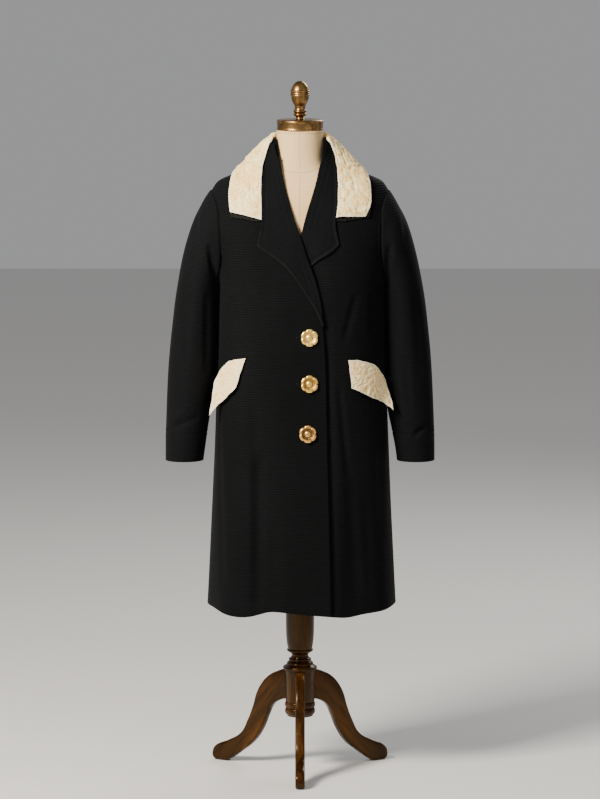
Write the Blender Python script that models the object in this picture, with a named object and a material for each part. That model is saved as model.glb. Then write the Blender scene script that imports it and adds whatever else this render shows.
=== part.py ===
"""Black wool coat with a pale collar and pocket flaps, on a limbless dress form with a tripod stand.

Metres, +Z up. X runs across the coat, its front faces -Y, and the floor is z = 0.
Every piece is modelled about the upright axis of the form and parented to one empty.
The empty moves them all so that the whole part is centred on the origin.
"Right" and "left" are the wearer's: the right front, sleeve and flap lie at -X.
"""

import math

import bmesh
import bpy
from mathutils import Matrix, Vector
from mathutils.bvhtree import BVHTree

# Driving sizes of the coat
WALL = 0.0022
GAP = 0.0003
LAYER_GAP = 0.0005
LAPEL_THICKNESS = 0.0030
UNDER_COLLAR_THICKNESS = 0.0016
TOP_COLLAR_THICKNESS = 0.0030
FLAP_THICKNESS = 0.0030
UNDERARM_Z = 1.130
SHOULDER_TIP_Z = 1.348
NECKLINE_Z = 1.420
STAND_TOP_Z = 1.470
HEM_Z = 0.385
FRONT_HIDDEN_EDGE_X = -0.020
TUCK_UNDER_RIGHT_FRONT = 0.008
ARMHOLE_HALF_DEPTH = 0.083
CUFF_Z = 0.728
BUTTON_RADIUS = 0.0200

# The left front under the right one: where it has sunk in, where it is back out, and how it fades
INSET_FULL_BEYOND_EDGE = 0.010
INSET_GONE_BEYOND_EDGE = 0.034
INSET_FADE_ABOVE_V = 0.030
TUCK_START_Z = 1.130
TUCK_FULL_Z = 1.170

# Driving sizes of the form and its stand
NECK_RADIUS = 0.0538
NECK_TOP_Z = 1.485
CAP_RADIUS = 0.0535
FORM_BOTTOM_Z = 0.700
LEG_THICKNESS = 0.022
LEG_COUNT = 3

# Mesh steps
SKIRT_ROWS = 8
ARMHOLE_STEPS = 10
FRONT_COLUMNS = 14
BACK_COLUMNS = 18
SLEEVE_HALF_SIDES = 10
COLLAR_COLUMNS = 5
LAPEL_COLUMNS = 4
FLAP_ROWS = 5
TURNED_SIDES = 24
STAND_STEPS = 20
RAISE_ROUNDS = 8
RAISE_REACH = 0.02
SEARCH_ROUNDS = 40
NORMAL_STEP_Z = 0.002
NORMAL_STEP_ANGLE = 0.01
SLOPE_STEP = 0.001
SHOULDER_ROWS = (1.362, 1.372, 1.380, 1.388, 1.402, NECKLINE_Z)
STAND_ROWS = (NECKLINE_Z + GAP, 1.445, STAND_TOP_Z)
FORM_SIDES = 28

ARMHOLE_CENTRE_Z = (UNDERARM_Z + SHOULDER_TIP_Z) / 2
ARMHOLE_HALF_HEIGHT = (SHOULDER_TIP_Z - UNDERARM_Z) / 2

# height, half width, front depth, back depth, squareness of the section
BODY_SECTIONS = (
    (0.340, 0.2170, 0.164, 0.154, 2.3),
    (0.393, 0.2140, 0.160, 0.150, 2.3),
    (0.491, 0.2090, 0.155, 0.148, 2.3),
    (0.631, 0.2020, 0.150, 0.146, 2.3),
    (0.817, 0.1940, 0.146, 0.142, 2.35),
    (0.980, 0.1890, 0.140, 0.135, 2.4),
    (1.130, 0.1870, 0.134, 0.130, 2.6),
    (1.178, 0.1910, 0.130, 0.128, 2.9),
    (1.245, 0.2050, 0.122, 0.124, 3.0),
    (1.305, 0.2110, 0.104, 0.115, 2.8),
    (1.348, 0.2045, 0.085, 0.100, 2.3),
    (1.362, 0.1960, 0.078, 0.096, 2.15),
    (1.372, 0.1850, 0.073, 0.093, 2.1),
    (1.379, 0.1680, 0.070, 0.091, 2.1),
    (1.388, 0.1440, 0.067, 0.088, 2.1),
    (1.400, 0.1170, 0.063, 0.084, 2.1),
    (1.410, 0.0990, 0.061, 0.081, 2.1),
    (1.420, 0.0860, 0.060, 0.078, 2.1),
    (1.430, 0.0780, 0.059, 0.075, 2.1),
    (1.445, 0.0710, 0.059, 0.072, 2.1),
    (1.460, 0.0645, 0.058, 0.069, 2.1),
    (1.480, 0.0575, 0.057, 0.066, 2.1),
)

# height, how much further out the coat hangs on the wearer's left side
LEFT_SIDE_OUT = (
    (0.340, 0.0075),
    (0.980, 0.0080),
    (1.130, 0.0080),
    (1.178, 0.0065),
    (1.245, 0.0030),
    (1.305, 0.0),
)

# angle from the front in degrees, half width in degrees, depth at the hem, height where it starts
SKIRT_FOLDS = (
    (-32.0, 11.0, -0.0130, 0.98),
    (-54.0, 10.0, 0.0050, 0.80),
    (-72.0, 9.0, -0.0040, 0.75),
    (24.0, 9.0, 0.0040, 0.80),
    (43.0, 11.0, -0.0120, 0.90),
    (62.0, 10.0, 0.0050, 0.80),
    (118.0, 12.0, -0.0080, 0.95),
    (146.0, 12.0, 0.0060, 0.95),
    (180.0, 13.0, -0.0080, 1.05),
    (214.0, 12.0, 0.0060, 0.95),
    (241.0, 12.0, -0.0080, 0.95),
)

# angle from the front in degrees, height of the hem
HEM_LINE = (
    (-100.0, 0.390),
    (-78.0, 0.3925),
    (-44.0, 0.3790),
    (-23.0, 0.3965),
    (0.0, 0.391),
    (24.0, 0.385),
    (40.0, 0.3795),
    (50.0, 0.3865),
    (62.0, 0.390),
    (80.0, 0.395),
    (130.0, 0.384),
    (180.0, 0.388),
    (230.0, 0.384),
    (260.0, 0.390),
)

# height, x of the right front's free edge below the break and of its roll line above it
RIGHT_EDGE = (
    (0.340, 0.0715),
    (0.585, 0.0665),
    (0.780, 0.0615),
    (0.980, 0.0580),
    (1.030, 0.0550),
    (1.048, 0.0520),
    (1.105, 0.0450),
    (1.153, 0.0330),
    (1.197, 0.0167),
    (1.246, 0.0007),
    (1.290, -0.0153),
    (1.332, -0.0280),
    (1.386, -0.0410),
    (1.427, -0.0490),
    (1.465, -0.0560),
)
V_BOTTOM_Z = 1.246
GORGE_Z = 1.290

# height, x of the left front's hidden edge below the V and of its roll line above it
LEFT_EDGE = (
    (0.340, FRONT_HIDDEN_EDGE_X),
    (1.180, FRONT_HIDDEN_EDGE_X),
    (1.225, -0.0080),
    (1.246, 0.0020),
    (1.290, 0.0135),
    (1.330, 0.0260),
    (1.365, 0.0390),
    (1.405, 0.0455),
    (1.435, 0.0535),
    (1.465, 0.0560),
)

# height, x of the right lapel's free edge, then of the seam with the pale collar
RIGHT_LAPEL_EDGE = (
    (1.052, 0.0490),
    (1.084, 0.0360),
    (1.130, 0.0071),
    (1.158, -0.0120),
    (1.186, -0.0350),
    (1.216, -0.0763),
    (1.231, -0.0968),
    (1.258, -0.0910),
    (1.285, -0.0866),
    (1.311, -0.0857),
    (1.345, -0.0877),
    (1.378, -0.0852),
    (1.400, -0.0829),
    (1.427, -0.0725),
    (1.456, -0.0615),
)

# height, x of the left lapel's free edge, then of the seam with the pale collar
LEFT_LAPEL_EDGE = (
    (1.187, 0.0260),
    (1.205, 0.0530),
    (1.233, 0.0886),
    (1.258, 0.0828),
    (1.285, 0.0808),
    (1.311, 0.0848),
    (1.345, 0.0853),
    (1.378, 0.0842),
    (1.400, 0.0818),
    (1.427, 0.0735),
    (1.456, 0.0620),
)

# The collar, one side: inner edge angle and height, outer edge angle and height, swell between them.
# Angles are degrees from the front, and None follows the lapel's seam. The first rows lie on the chest,
# and the last is the centre back.
COLLAR_STATIONS = (
    (None, 1.2850, 60.0, 1.2960, 0.001),
    (None, 1.3110, 64.5, 1.3200, 0.001),
    (None, 1.3450, 69.5, 1.3460, 0.002),
    (None, 1.3780, 74.0, 1.3680, 0.004),
    (None, 1.4000, 82.0, 1.3825, 0.007),
    (None, 1.4270, 92.0, 1.3870, 0.009),
    (None, 1.4560, 103.0, 1.3825, 0.010),
    (82.0, 1.4700, 115.0, 1.3760, 0.011),
    (104.0, 1.4715, 130.0, 1.3700, 0.010),
    (130.0, 1.4725, 147.0, 1.3680, 0.009),
    (155.0, 1.4730, 164.0, 1.3670, 0.008),
    (180.0, 1.4730, 180.0, 1.3670, 0.008),
)

# x and z of the sleeve's outer line, x and z of its inner line, half depth, middle in y
SLEEVE_RINGS = (
    (0.2195, 1.327, 0.1880, 1.1285, 0.0835, 0.000),
    (0.2330, 1.303, 0.1880, 1.1250, 0.0835, 0.000),
    (0.2450, 1.279, 0.1880, 1.1200, 0.0825, 0.000),
    (0.2600, 1.233, 0.1881, 1.1050, 0.0795, -0.001),
    (0.2715, 1.187, 0.1883, 1.0800, 0.0760, -0.002),
    (0.2800, 1.141, 0.1886, 1.0500, 0.0720, -0.003),
    (0.2880, 1.095, 0.1892, 1.0150, 0.0690, -0.004),
    (0.2930, 1.049, 0.1898, 0.9850, 0.0665, -0.005),
    (0.2980, 1.003, 0.1906, 0.9500, 0.0640, -0.006),
    (0.3030, 0.940, 0.1926, 0.9150, 0.0610, -0.008),
    (0.3070, 0.864, 0.2020, 0.8600, 0.0570, -0.010),
    (0.3090, 0.806, 0.2105, 0.8080, 0.0530, -0.013),
    (0.3100, 0.785, 0.2135, 0.7850, 0.0520, -0.014),
    (0.3100, CUFF_Z, 0.2210, CUFF_Z, 0.0470, -0.016),
)

# How far the wearer's left sleeve follows side_out on its inner line: height and share
LEFT_SLEEVE_FOLLOWS = (
    (0.860, 0.1),
    (0.915, 1.0),
)

# A pocket flap, from its front end to its rear one: x and z on its sewn edge, x and z on its free edge
RIGHT_FLAP = (
    (0.1225, 0.9735, 0.1440, 0.906),
    (0.1417, 0.9710, 0.1520, 0.897),
    (0.1600, 0.9650, 0.1600, 0.888),
    (0.1715, 0.9510, 0.1710, 0.874),
    (0.1850, 0.9330, 0.1840, 0.863),
    (0.1940, 0.9170, 0.2060, 0.837),
)
LEFT_FLAP = (
    (0.1086, 0.9720, 0.1168, 0.906),
    (0.1359, 0.9690, 0.1359, 0.898),
    (0.1610, 0.9600, 0.1587, 0.885),
    (0.1724, 0.9530, 0.1750, 0.876),
    (0.1815, 0.9370, 0.1883, 0.868),
    (0.1930, 0.9170, 0.2130, 0.849),
)
FLAP_FRONT_STAND_OFF = 0.006
FLAP_TIP_STAND_OFF = 0.014
FLAP_HELD_SHARE = 0.95
FLAP_FLARE = 1.5

# x and z of the button centres
BUTTON_PLACES = (
    ("button_top", 0.0215, 1.023),
    ("button_middle", 0.0215, 0.918),
    ("button_bottom", 0.0177, 0.804),
)
# share of the radius, height from the button's back: a flat back, a rim, a groove, a dome
BUTTON_PROFILE = ((1.0, 0.0), (1.0, 0.0020), (0.93, 0.0032), (0.66, 0.0050), (0.46, 0.0026), (0.30, 0.0052))
BUTTON_PETAL_SHARES = (1.0, 1.0, 1.0, 0.7, 0.0, 0.0)
BUTTON_DOME_HEIGHT = 0.0062
BUTTON_PETALS = 6
BUTTON_PETAL_DEPTH = 0.07
BUTTON_STEPS = 24

# The dress form: height, half width, front depth, back depth
FORM_SECTIONS = (
    (0.700, 0.132, 0.092, 0.098),
    (0.712, 0.146, 0.103, 0.109),
    (0.800, 0.154, 0.108, 0.118),
    (0.950, 0.142, 0.097, 0.102),
    (1.050, 0.132, 0.094, 0.092),
    (1.150, 0.145, 0.110, 0.097),
    (1.220, 0.160, 0.115, 0.102),
    (1.290, 0.172, 0.105, 0.100),
    (1.330, 0.180, 0.092, 0.097),
    (1.352, 0.180, 0.080, 0.092),
    (1.368, 0.166, 0.070, 0.086),
    (1.380, 0.130, 0.064, 0.080),
    (1.392, 0.090, 0.060, 0.072),
    (1.402, 0.066, 0.057, 0.062),
    (1.418, 0.056, 0.055, 0.056),
    (1.450, NECK_RADIUS, NECK_RADIUS, NECK_RADIUS),
    (NECK_TOP_Z, NECK_RADIUS, NECK_RADIUS, NECK_RADIUS),
)
FORM_SQUARENESS = 2.2
FORM_CLEARANCE = 0.0004

# Turned pieces: radius and height from the top down
CAP_PROFILE = (
    (0.0, 1.5100),
    (0.0300, 1.5098),
    (0.0500, 1.5088),
    (CAP_RADIUS, 1.5050),
    (CAP_RADIUS, 1.4880),
    (0.0525, NECK_TOP_Z + GAP),
    (0.0, NECK_TOP_Z + GAP),
)
FINIAL_PROFILE = (
    (0.0, 1.5970),
    (0.0090, 1.5945),
    (0.0165, 1.5875),
    (0.0205, 1.5800),
    (0.0223, 1.5755),
    (0.0223, 1.5725),
    (0.0207, 1.5715),
    (0.0223, 1.5700),
    (0.0223, 1.5615),
    (0.0195, 1.5520),
    (0.0150, 1.5440),
    (0.0130, 1.5400),
    (0.0128, 1.5320),
    (0.0145, 1.5275),
    (0.0135, 1.5250),
    (0.0145, 1.5215),
    (0.0110, 1.5170),
    (0.0090, 1.5110),
    (0.0, 1.5103),
)
PEDESTAL_PROFILE = (
    (0.0, FORM_BOTTOM_Z - GAP),
    (0.0900, FORM_BOTTOM_Z - GAP),
    (0.0900, 0.6880),
    (0.0400, 0.6820),
    (0.0330, 0.6600),
    (0.0330, 0.4000),
    (0.0320, 0.3030),
    (0.0280, 0.2830),
    (0.0265, 0.2757),
    (0.0193, 0.2684),
    (0.0245, 0.2593),
    (0.0300, 0.2503),
    (0.0393, 0.2398),
    (0.0393, 0.2339),
    (0.0340, 0.2300),
    (0.0340, 0.1600),
    (0.0350, 0.1514),
    (0.0320, 0.1430),
    (0.0350, 0.1350),
    (0.0320, 0.1275),
    (0.0, 0.1260),
)

# A leg from the side: distance from the axis and height of its upper and lower line
LEG_UPPER_LINE = (
    (0.2250, 0.0000),
    (0.2310, 0.0050),
    (0.2332, 0.0165),
    (0.2265, 0.0315),
    (0.1907, 0.0495),
    (0.1560, 0.0705),
    (0.1360, 0.1056),
    (0.1220, 0.1400),
    (0.1135, 0.1680),
    (0.0978, 0.1960),
    (0.0774, 0.2160),
    (0.0343, 0.2290),
)
LEG_LOWER_LINE = (
    (0.0343, 0.1640),
    (0.0500, 0.1586),
    (0.0706, 0.1450),
    (0.0845, 0.1190),
    (0.0978, 0.0880),
    (0.1220, 0.0530),
    (0.1560, 0.0255),
    (0.1800, 0.0090),
    (0.1940, 0.0000),
)
LEG_BEVEL = 0.0035
LEG_CURVE_STEPS = 2
LEG_SEAT_RADIUS = 0.036
FOOT_FLAT_Z = 0.001

# Colours (linear), roughness and metallic value
FINISHES = {
    "black_wool": ((0.0090, 0.0088, 0.0090), 0.90, 0.0),
    "pale_collar": ((0.700, 0.560, 0.400), 0.85, 0.0),
    "pale_flap": ((0.600, 0.470, 0.340), 0.85, 0.0),
    "linen": ((0.620, 0.490, 0.340), 0.85, 0.0),
    "gilt": ((0.560, 0.400, 0.210), 0.35, 1.0),
    "brass": ((0.190, 0.105, 0.045), 0.35, 1.0),
    "dark_wood": ((0.036, 0.013, 0.006), 0.40, 0.0),
}


def clear_scene():
    for old in list(bpy.data.objects):
        bpy.data.objects.remove(old, do_unlink=True)


def ease(value):
    value = min(1.0, max(0.0, value))
    return value * value * (3 - 2 * value)


def read_table(table, at, column):
    """Smooth reading of one column of a table whose first column rises."""
    if at <= table[0][0]:
        return table[0][column]
    if at >= table[-1][0]:
        return table[-1][column]
    for index in range(len(table) - 1):
        if at <= table[index + 1][0]:
            break
    low = table[index]
    high = table[index + 1]
    span = high[0] - low[0]
    chord = (high[column] - low[column]) / span
    before = table[max(index - 1, 0)]
    after = table[min(index + 2, len(table) - 1)]
    slope_low = limited_slope(before, low, high, column, chord)
    slope_high = limited_slope(low, high, after, column, chord)
    t = (at - low[0]) / span
    return (low[column] * (1 + 2 * t) * (1 - t) ** 2 + high[column] * t * t * (3 - 2 * t)
            + span * (slope_low * t * (1 - t) ** 2 - slope_high * t * t * (1 - t)))


def limited_slope(before, here, after, column, chord):
    """Slope at a table row, kept flat at a turning point so that a curve never overshoots."""
    if before is here or after is here:
        return chord
    left = (here[column] - before[column]) / (here[0] - before[0])
    right = (after[column] - here[column]) / (after[0] - here[0])
    if left * right <= 0:
        return 0.0
    return 2 * left * right / (left + right)


def section_radius(half_width, front, back, squareness, angle):
    across = abs(math.sin(angle)) / half_width
    forward = math.cos(angle)
    along = abs(forward) / (front if forward > 0 else back)
    return (across ** squareness + along ** squareness) ** (-1 / squareness)


def fold_height(z, angle):
    """How far the skirt's hanging folds push the cloth out or in at a place."""
    total = 0.0
    degrees = math.degrees(angle)
    for middle, half_width, depth, start in SKIRT_FOLDS:
        away = (degrees - middle + 180) % 360 - 180
        if abs(away) < 2 * half_width:
            across = 0.5 + 0.5 * math.cos(math.pi * away / (2 * half_width))
            total += depth * across * across * ease((start - z) / (start - HEM_Z))
    return total


def side_out(z, side):
    return read_table(LEFT_SIDE_OUT, z, 1) if side > 0 else 0.0


def body_radius(z, angle):
    half_width, *others = [read_table(BODY_SECTIONS, z, column) for column in (1, 2, 3, 4)]
    half_width += side_out(z, math.sin(angle))
    return section_radius(half_width, *others, angle) + fold_height(z, angle)


def body_point(z, angle, out=0.0):
    """A point on the coat's outer face, or `out` metres off it along the normal."""
    radius = body_radius(z, angle)
    point = Vector((radius * math.sin(angle), -radius * math.cos(angle), z))
    if out:
        point += out * body_normal(z, angle)
    return point


def body_normal(z, angle):
    up = body_point(z + NORMAL_STEP_Z, angle) - body_point(z - NORMAL_STEP_Z, angle)
    ahead = body_point(z, angle + NORMAL_STEP_ANGLE)
    round_about = ahead - body_point(z, angle - NORMAL_STEP_ANGLE)
    return round_about.cross(up).normalized()


def distance_off_body(point):
    """Rough distance of a point outside the coat's outer face, and the face's normal there."""
    angle = math.atan2(point.x, -point.y)
    normal = body_normal(point.z, angle)
    surface = body_point(point.z, angle)
    return (point - surface).dot(normal), normal


def angle_at_x(z, x):
    """Angle at which the front of the coat has a given x at a given height."""
    low = -math.pi / 2
    high = math.pi / 2
    for _ in range(SEARCH_ROUNDS):
        middle = (low + high) / 2
        if body_radius(z, middle) * math.sin(middle) < x:
            low = middle
        else:
            high = middle
    return (low + high) / 2


def angle_at_depth(z, depth, back, side):
    """Size of the angle at which one side of the coat lies `depth` before, or behind, the form's axis."""
    low = 0.0
    high = math.pi / 2
    for _ in range(SEARCH_ROUNDS):
        middle = (low + high) / 2
        angle = math.pi - middle if back else middle
        if abs(body_radius(z, side * angle) * math.cos(angle)) > depth:
            low = middle
        else:
            high = middle
    middle = (low + high) / 2
    return math.pi - middle if back else middle


def make_material(finish):
    material = bpy.data.materials.get(finish)
    if material is None:
        colour, roughness, metallic = FINISHES[finish]
        material = bpy.data.materials.new(finish)
        material.use_nodes = True
        shader = material.node_tree.nodes["Principled BSDF"]
        shader.inputs["Base Color"].default_value = (*colour, 1.0)
        shader.inputs["Roughness"].default_value = roughness
        shader.inputs["Metallic"].default_value = metallic
        material.diffuse_color = (*colour, 1.0)
    return material


def add_object(name, vertices, faces, finish, smooth_angle=40.0):
    mesh = bpy.data.meshes.new(name)
    mesh.from_pydata([tuple(vertex) for vertex in vertices], [], faces)
    built = bmesh.new()
    built.from_mesh(mesh)
    bmesh.ops.recalc_face_normals(built, faces=built.faces)
    bmesh.ops.triangulate(built, faces=built.faces, quad_method="BEAUTY")
    built.to_mesh(mesh)
    built.free()
    mesh.shade_smooth()
    mesh.set_sharp_from_angle(angle=math.radians(smooth_angle))
    made = bpy.data.objects.new(name, mesh)
    made.data.materials.append(make_material(finish))
    bpy.context.collection.objects.link(made)
    made.parent = AXIS
    return made


def closed_wall(name, outer, inner, finish):
    """A wall between two grids of points, closed along its four edges."""
    rows = len(outer)
    columns = len(outer[0])
    vertices = [point for grid in (outer, inner) for row in grid for point in row]
    faces = []

    def at(layer, row, column):
        return (layer * rows + row) * columns + column

    for row in range(rows - 1):
        for column in range(columns - 1):
            corners = ((row, column), (row, column + 1), (row + 1, column + 1), (row + 1, column))
            faces.append([at(0, *corner) for corner in corners])
            faces.append([at(1, *corner) for corner in reversed(corners)])
    border = [(0, column) for column in range(columns)]
    border += [(row, columns - 1) for row in range(1, rows)]
    border += [(rows - 1, column) for column in range(columns - 2, -1, -1)]
    border += [(row, 0) for row in range(rows - 2, 0, -1)]
    for here, there in zip(border, border[1:] + border[:1]):
        faces.append([at(0, *there), at(0, *here), at(1, *here), at(1, *there)])
    return add_object(name, vertices, faces, finish)


def grid_normals(grid):
    """Normals of a grid of points, from each point's neighbours, on the side away from the coat."""
    rows = len(grid)
    columns = len(grid[0])
    normals = []
    for row in range(rows):
        line = []
        for column in range(columns):
            up = grid[min(row + 1, rows - 1)][column] - grid[max(row - 1, 0)][column]
            across = grid[row][min(column + 1, columns - 1)] - grid[row][max(column - 1, 0)]
            line.append(across.cross(up).normalized())
        normals.append(line)
    middle = (rows // 2, columns // 2)
    away = distance_off_body(grid[middle[0]][middle[1]])[1]
    if normals[middle[0]][middle[1]].dot(away) < 0:
        normals = [[-normal for normal in line] for line in normals]
    return normals


def layer_of(name, grid, low, high, finish):
    """A cloth layer over a grid of points, from `low` to `high` metres off it."""
    normals = grid_normals(grid)
    outer = [[point + high * normal for point, normal in zip(*rows)] for rows in zip(grid, normals)]
    inner = [[point + low * normal for point, normal in zip(*rows)] for rows in zip(grid, normals)]
    return closed_wall(name, outer, inner, finish)


def raise_clear(grid, below):
    """Move the points of a grid out until its facets lie clear of the pieces below it."""
    trees = []
    for name in below:
        mesh = bpy.data.objects[name].data
        places = [vertex.co for vertex in mesh.vertices]
        trees.append(BVHTree.FromPolygons(places, [face.vertices for face in mesh.polygons]))
    shares = (0.0, 0.25, 0.5, 0.75, 1.0)
    for _ in range(RAISE_ROUNDS):
        normals = grid_normals(grid)
        lifts = [[0.0] * len(grid[0]) for _ in grid]
        for row in range(len(grid) - 1):
            for column in range(len(grid[0]) - 1):
                corners = ((row, column), (row + 1, column), (row, column + 1), (row + 1, column + 1))
                for u in shares:
                    for v in shares:
                        weights = ((1 - u) * (1 - v), u * (1 - v), (1 - u) * v, u * v)
                        point = Vector()
                        out = Vector()
                        for weight, (r, c) in zip(weights, corners):
                            point += weight * grid[r][c]
                            out += weight * normals[r][c]
                        out.normalize()
                        short = height_wanted(point, out, trees)
                        for weight, (r, c) in zip(weights, corners):
                            if weight > 0:
                                lifts[r][c] = max(lifts[r][c], short)
        for row, line in enumerate(lifts):
            for column, lift in enumerate(line):
                grid[row][column] += lift * normals[row][column]
    return grid


def height_wanted(point, out, trees):
    """How much further out a point must lie to be LAYER_GAP off every piece under it."""
    short = 0.0
    for tree in trees:
        spot = tree.ray_cast(point + out * RAISE_REACH, -out, 2 * RAISE_REACH)[0]
        if spot is not None:
            short = max(short, LAYER_GAP - (point - spot).dot(out))
    return short


def hem_height(angle):
    degrees = math.degrees(angle)
    if degrees > 260:
        degrees -= 360
    if degrees < -100:
        degrees += 360
    return read_table(HEM_LINE, degrees, 1)


def coat_rows():
    """Heights of the panels' rows as (share up the skirt, height) from the hem to the neckline."""
    rows = [(step / SKIRT_ROWS, None) for step in range(SKIRT_ROWS)]
    for step in range(ARMHOLE_STEPS + 1):
        turn = math.pi * step / ARMHOLE_STEPS
        rows.append((1.0, ARMHOLE_CENTRE_Z - ARMHOLE_HALF_HEIGHT * math.cos(turn)))
    for z in SHOULDER_ROWS:
        rows.append((1.0, z))
    return rows


def outer_angle(z, back, side):
    """Size of the angle where a panel ends: at the side seam, the armhole or the shoulder seam."""
    gap_angle = GAP / 2 / body_radius(z, side * math.pi / 2)
    seam = math.pi / 2 + (gap_angle if back else -gap_angle)
    reach = 1 - ((z - ARMHOLE_CENTRE_Z) / ARMHOLE_HALF_HEIGHT) ** 2
    if reach <= 0:
        return seam
    edge = angle_at_depth(z, ARMHOLE_HALF_DEPTH * math.sqrt(reach), back, side)
    return max(edge, seam) if back else min(edge, seam)


def panel(name, columns, start_angle, end_angle, inset=None):
    """A wall of the coat's body. start_angle and end_angle give its two edges at a height."""
    outer = []
    inner = []
    for share, height in coat_rows():
        nominal = height if height is not None else HEM_Z + share * (UNDERARM_Z - HEM_Z)
        first = start_angle(nominal)
        last = end_angle(nominal)
        outer_row = []
        inner_row = []
        for column in range(columns + 1):
            angle = first + (last - first) * column / columns
            z = height
            if z is None:
                z = hem_height(angle) + share * (UNDERARM_Z - hem_height(angle))
            sunk = inset(z, body_radius(z, angle) * math.sin(angle)) if inset else 0.0
            outer_row.append(body_point(z, angle, -sunk))
            inner_row.append(body_point(z, angle, -sunk - WALL))
        outer.append(outer_row)
        inner.append(inner_row)
    return closed_wall(name, outer, inner, "black_wool")


def left_front_inset(z, x):
    """The left front runs on under the right one, and deeper where its lapel is tucked in."""
    beyond = x - read_table(RIGHT_EDGE, z, 1)
    near = ease((INSET_GONE_BEYOND_EDGE - beyond) / (INSET_GONE_BEYOND_EDGE - INSET_FULL_BEYOND_EDGE))
    tucked = (LAPEL_THICKNESS + 3 * LAYER_GAP) * ease((z - TUCK_START_Z) / (TUCK_FULL_Z - TUCK_START_Z))
    fade = ease((V_BOTTOM_Z + INSET_FADE_ABOVE_V - z) / INSET_FADE_ABOVE_V)
    return near * fade * (WALL + 2 * LAYER_GAP + tucked)


def build_body():
    def right_start(z):
        return -outer_angle(z, False, -1)

    def right_end(z):
        return angle_at_x(z, read_table(RIGHT_EDGE, z, 1))

    def left_start(z):
        return angle_at_x(z, read_table(LEFT_EDGE, z, 1))

    def left_end(z):
        return outer_angle(z, False, 1)

    def back_start(z):
        return outer_angle(z, True, 1)

    def back_end(z):
        return 2 * math.pi - outer_angle(z, True, -1)

    panel("coat_front_right", FRONT_COLUMNS, right_start, right_end)
    panel("coat_front_left", FRONT_COLUMNS, left_start, left_end, left_front_inset)
    panel("coat_back", BACK_COLUMNS, back_start, back_end)


def build_collar_stand():
    """The upright band between the neckline and the fold of the collar."""
    outer = []
    inner = []
    for z in STAND_ROWS:
        right = angle_at_x(z, read_table(RIGHT_EDGE, z, 1))
        left = angle_at_x(z, read_table(LEFT_EDGE, z, 1))
        turn = (right + 2 * math.pi - left) / STAND_STEPS
        angles = [left + turn * step for step in range(STAND_STEPS + 1)]
        outer.append([body_point(z, angle) for angle in angles])
        inner.append([body_point(z, angle, -WALL) for angle in angles])
    closed_wall("collar_stand", outer, inner, "black_wool")


def build_lapel(name, front, roll, edge, inset):
    """The turned-back top of a front, lying on it from the roll line to the lapel's free edge."""
    heights = [row[0] for row in edge]
    side = -1 if edge[-1][1] < 0 else 1
    rows = []
    for low, high in zip(heights, heights[1:]):
        rows.append(low)
        if high < GORGE_Z:
            rows.append((low + high) / 2)
    rows.append(heights[-1])
    grid = []
    for z in rows:
        inner_x = read_table(roll, z, 1)
        if side > 0 and z < V_BOTTOM_Z:
            inner_x = max(inner_x, read_table(RIGHT_EDGE, z, 1) - TUCK_UNDER_RIGHT_FRONT)
        outer_x = read_table(edge, z, 1) - side * GAP
        line = []
        for column in range(LAPEL_COLUMNS + 1):
            x = inner_x + (outer_x - inner_x) * column / LAPEL_COLUMNS
            line.append(body_point(z, angle_at_x(z, x), LAYER_GAP - inset(z, x)))
        grid.append(line)
    raise_clear(grid, (front, "coat_back", "collar_stand"))
    layer_of(name, grid, 0.0, LAPEL_THICKNESS, "black_wool")


def collar_grid():
    """Points of the fold-over collar, a row for each station from the right end to the left one."""
    stations = [(-1, row) for row in COLLAR_STATIONS] + [(1, row) for row in reversed(COLLAR_STATIONS[:-1])]
    grid = []
    for side, (inner_degrees, inner_z, outer_degrees, outer_z, swell) in stations:
        if inner_degrees is None:
            seam_x = read_table(RIGHT_LAPEL_EDGE if side < 0 else LEFT_LAPEL_EDGE, inner_z, 1)
            inner_turn = angle_at_x(inner_z, seam_x + side * GAP)
        else:
            inner_turn = side * math.radians(inner_degrees)
        outer_turn = side * math.radians(outer_degrees)
        inner = body_point(inner_z, inner_turn, LAYER_GAP)
        outer = body_point(outer_z, outer_turn, LAYER_GAP)
        way = outer - inner
        out = body_normal((inner_z + outer_z) / 2, (inner_turn + outer_turn) / 2)
        out = (out - way * out.dot(way) / way.length_squared).normalized()
        line = []
        for column in range(COLLAR_COLUMNS + 1):
            share = column / COLLAR_COLUMNS
            line.append(inner + way * share + out * swell * math.sin(math.pi * share ** 0.8))
        grid.append(line)
    fronts = ("coat_front_right", "coat_front_left")
    return raise_clear(grid, fronts + ("coat_back", "collar_stand", "lapel_right", "lapel_left"))


def build_collar():
    grid = collar_grid()
    low = UNDER_COLLAR_THICKNESS + GAP
    layer_of("under_collar", grid, 0.0, UNDER_COLLAR_THICKNESS, "black_wool")
    layer_of("top_collar", grid, low, low + TOP_COLLAR_THICKNESS, "pale_collar")


def half_turns(half_depth, facing):
    """Turns round half a sleeve, from its outer seam to its inner one, half a gap short of each."""
    seam = GAP / 2 / half_depth
    turn = (math.pi - 2 * seam) / SLEEVE_HALF_SIDES
    return [facing * (seam + turn * step) for step in range(SLEEVE_HALF_SIDES + 1)]


def armhole_line(side, facing, shrink, out):
    """Points along half of the armhole on the coat's face, starting at the shoulder tip."""
    points = []
    for turn in half_turns(ARMHOLE_HALF_DEPTH, facing):
        z = ARMHOLE_CENTRE_Z + (ARMHOLE_HALF_HEIGHT - shrink) * math.cos(turn)
        depth = (ARMHOLE_HALF_DEPTH - shrink) * math.sin(turn)
        angle = angle_at_depth(z, abs(depth), depth < 0, side)
        points.append(body_point(z, side * angle, out))
    return points


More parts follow.
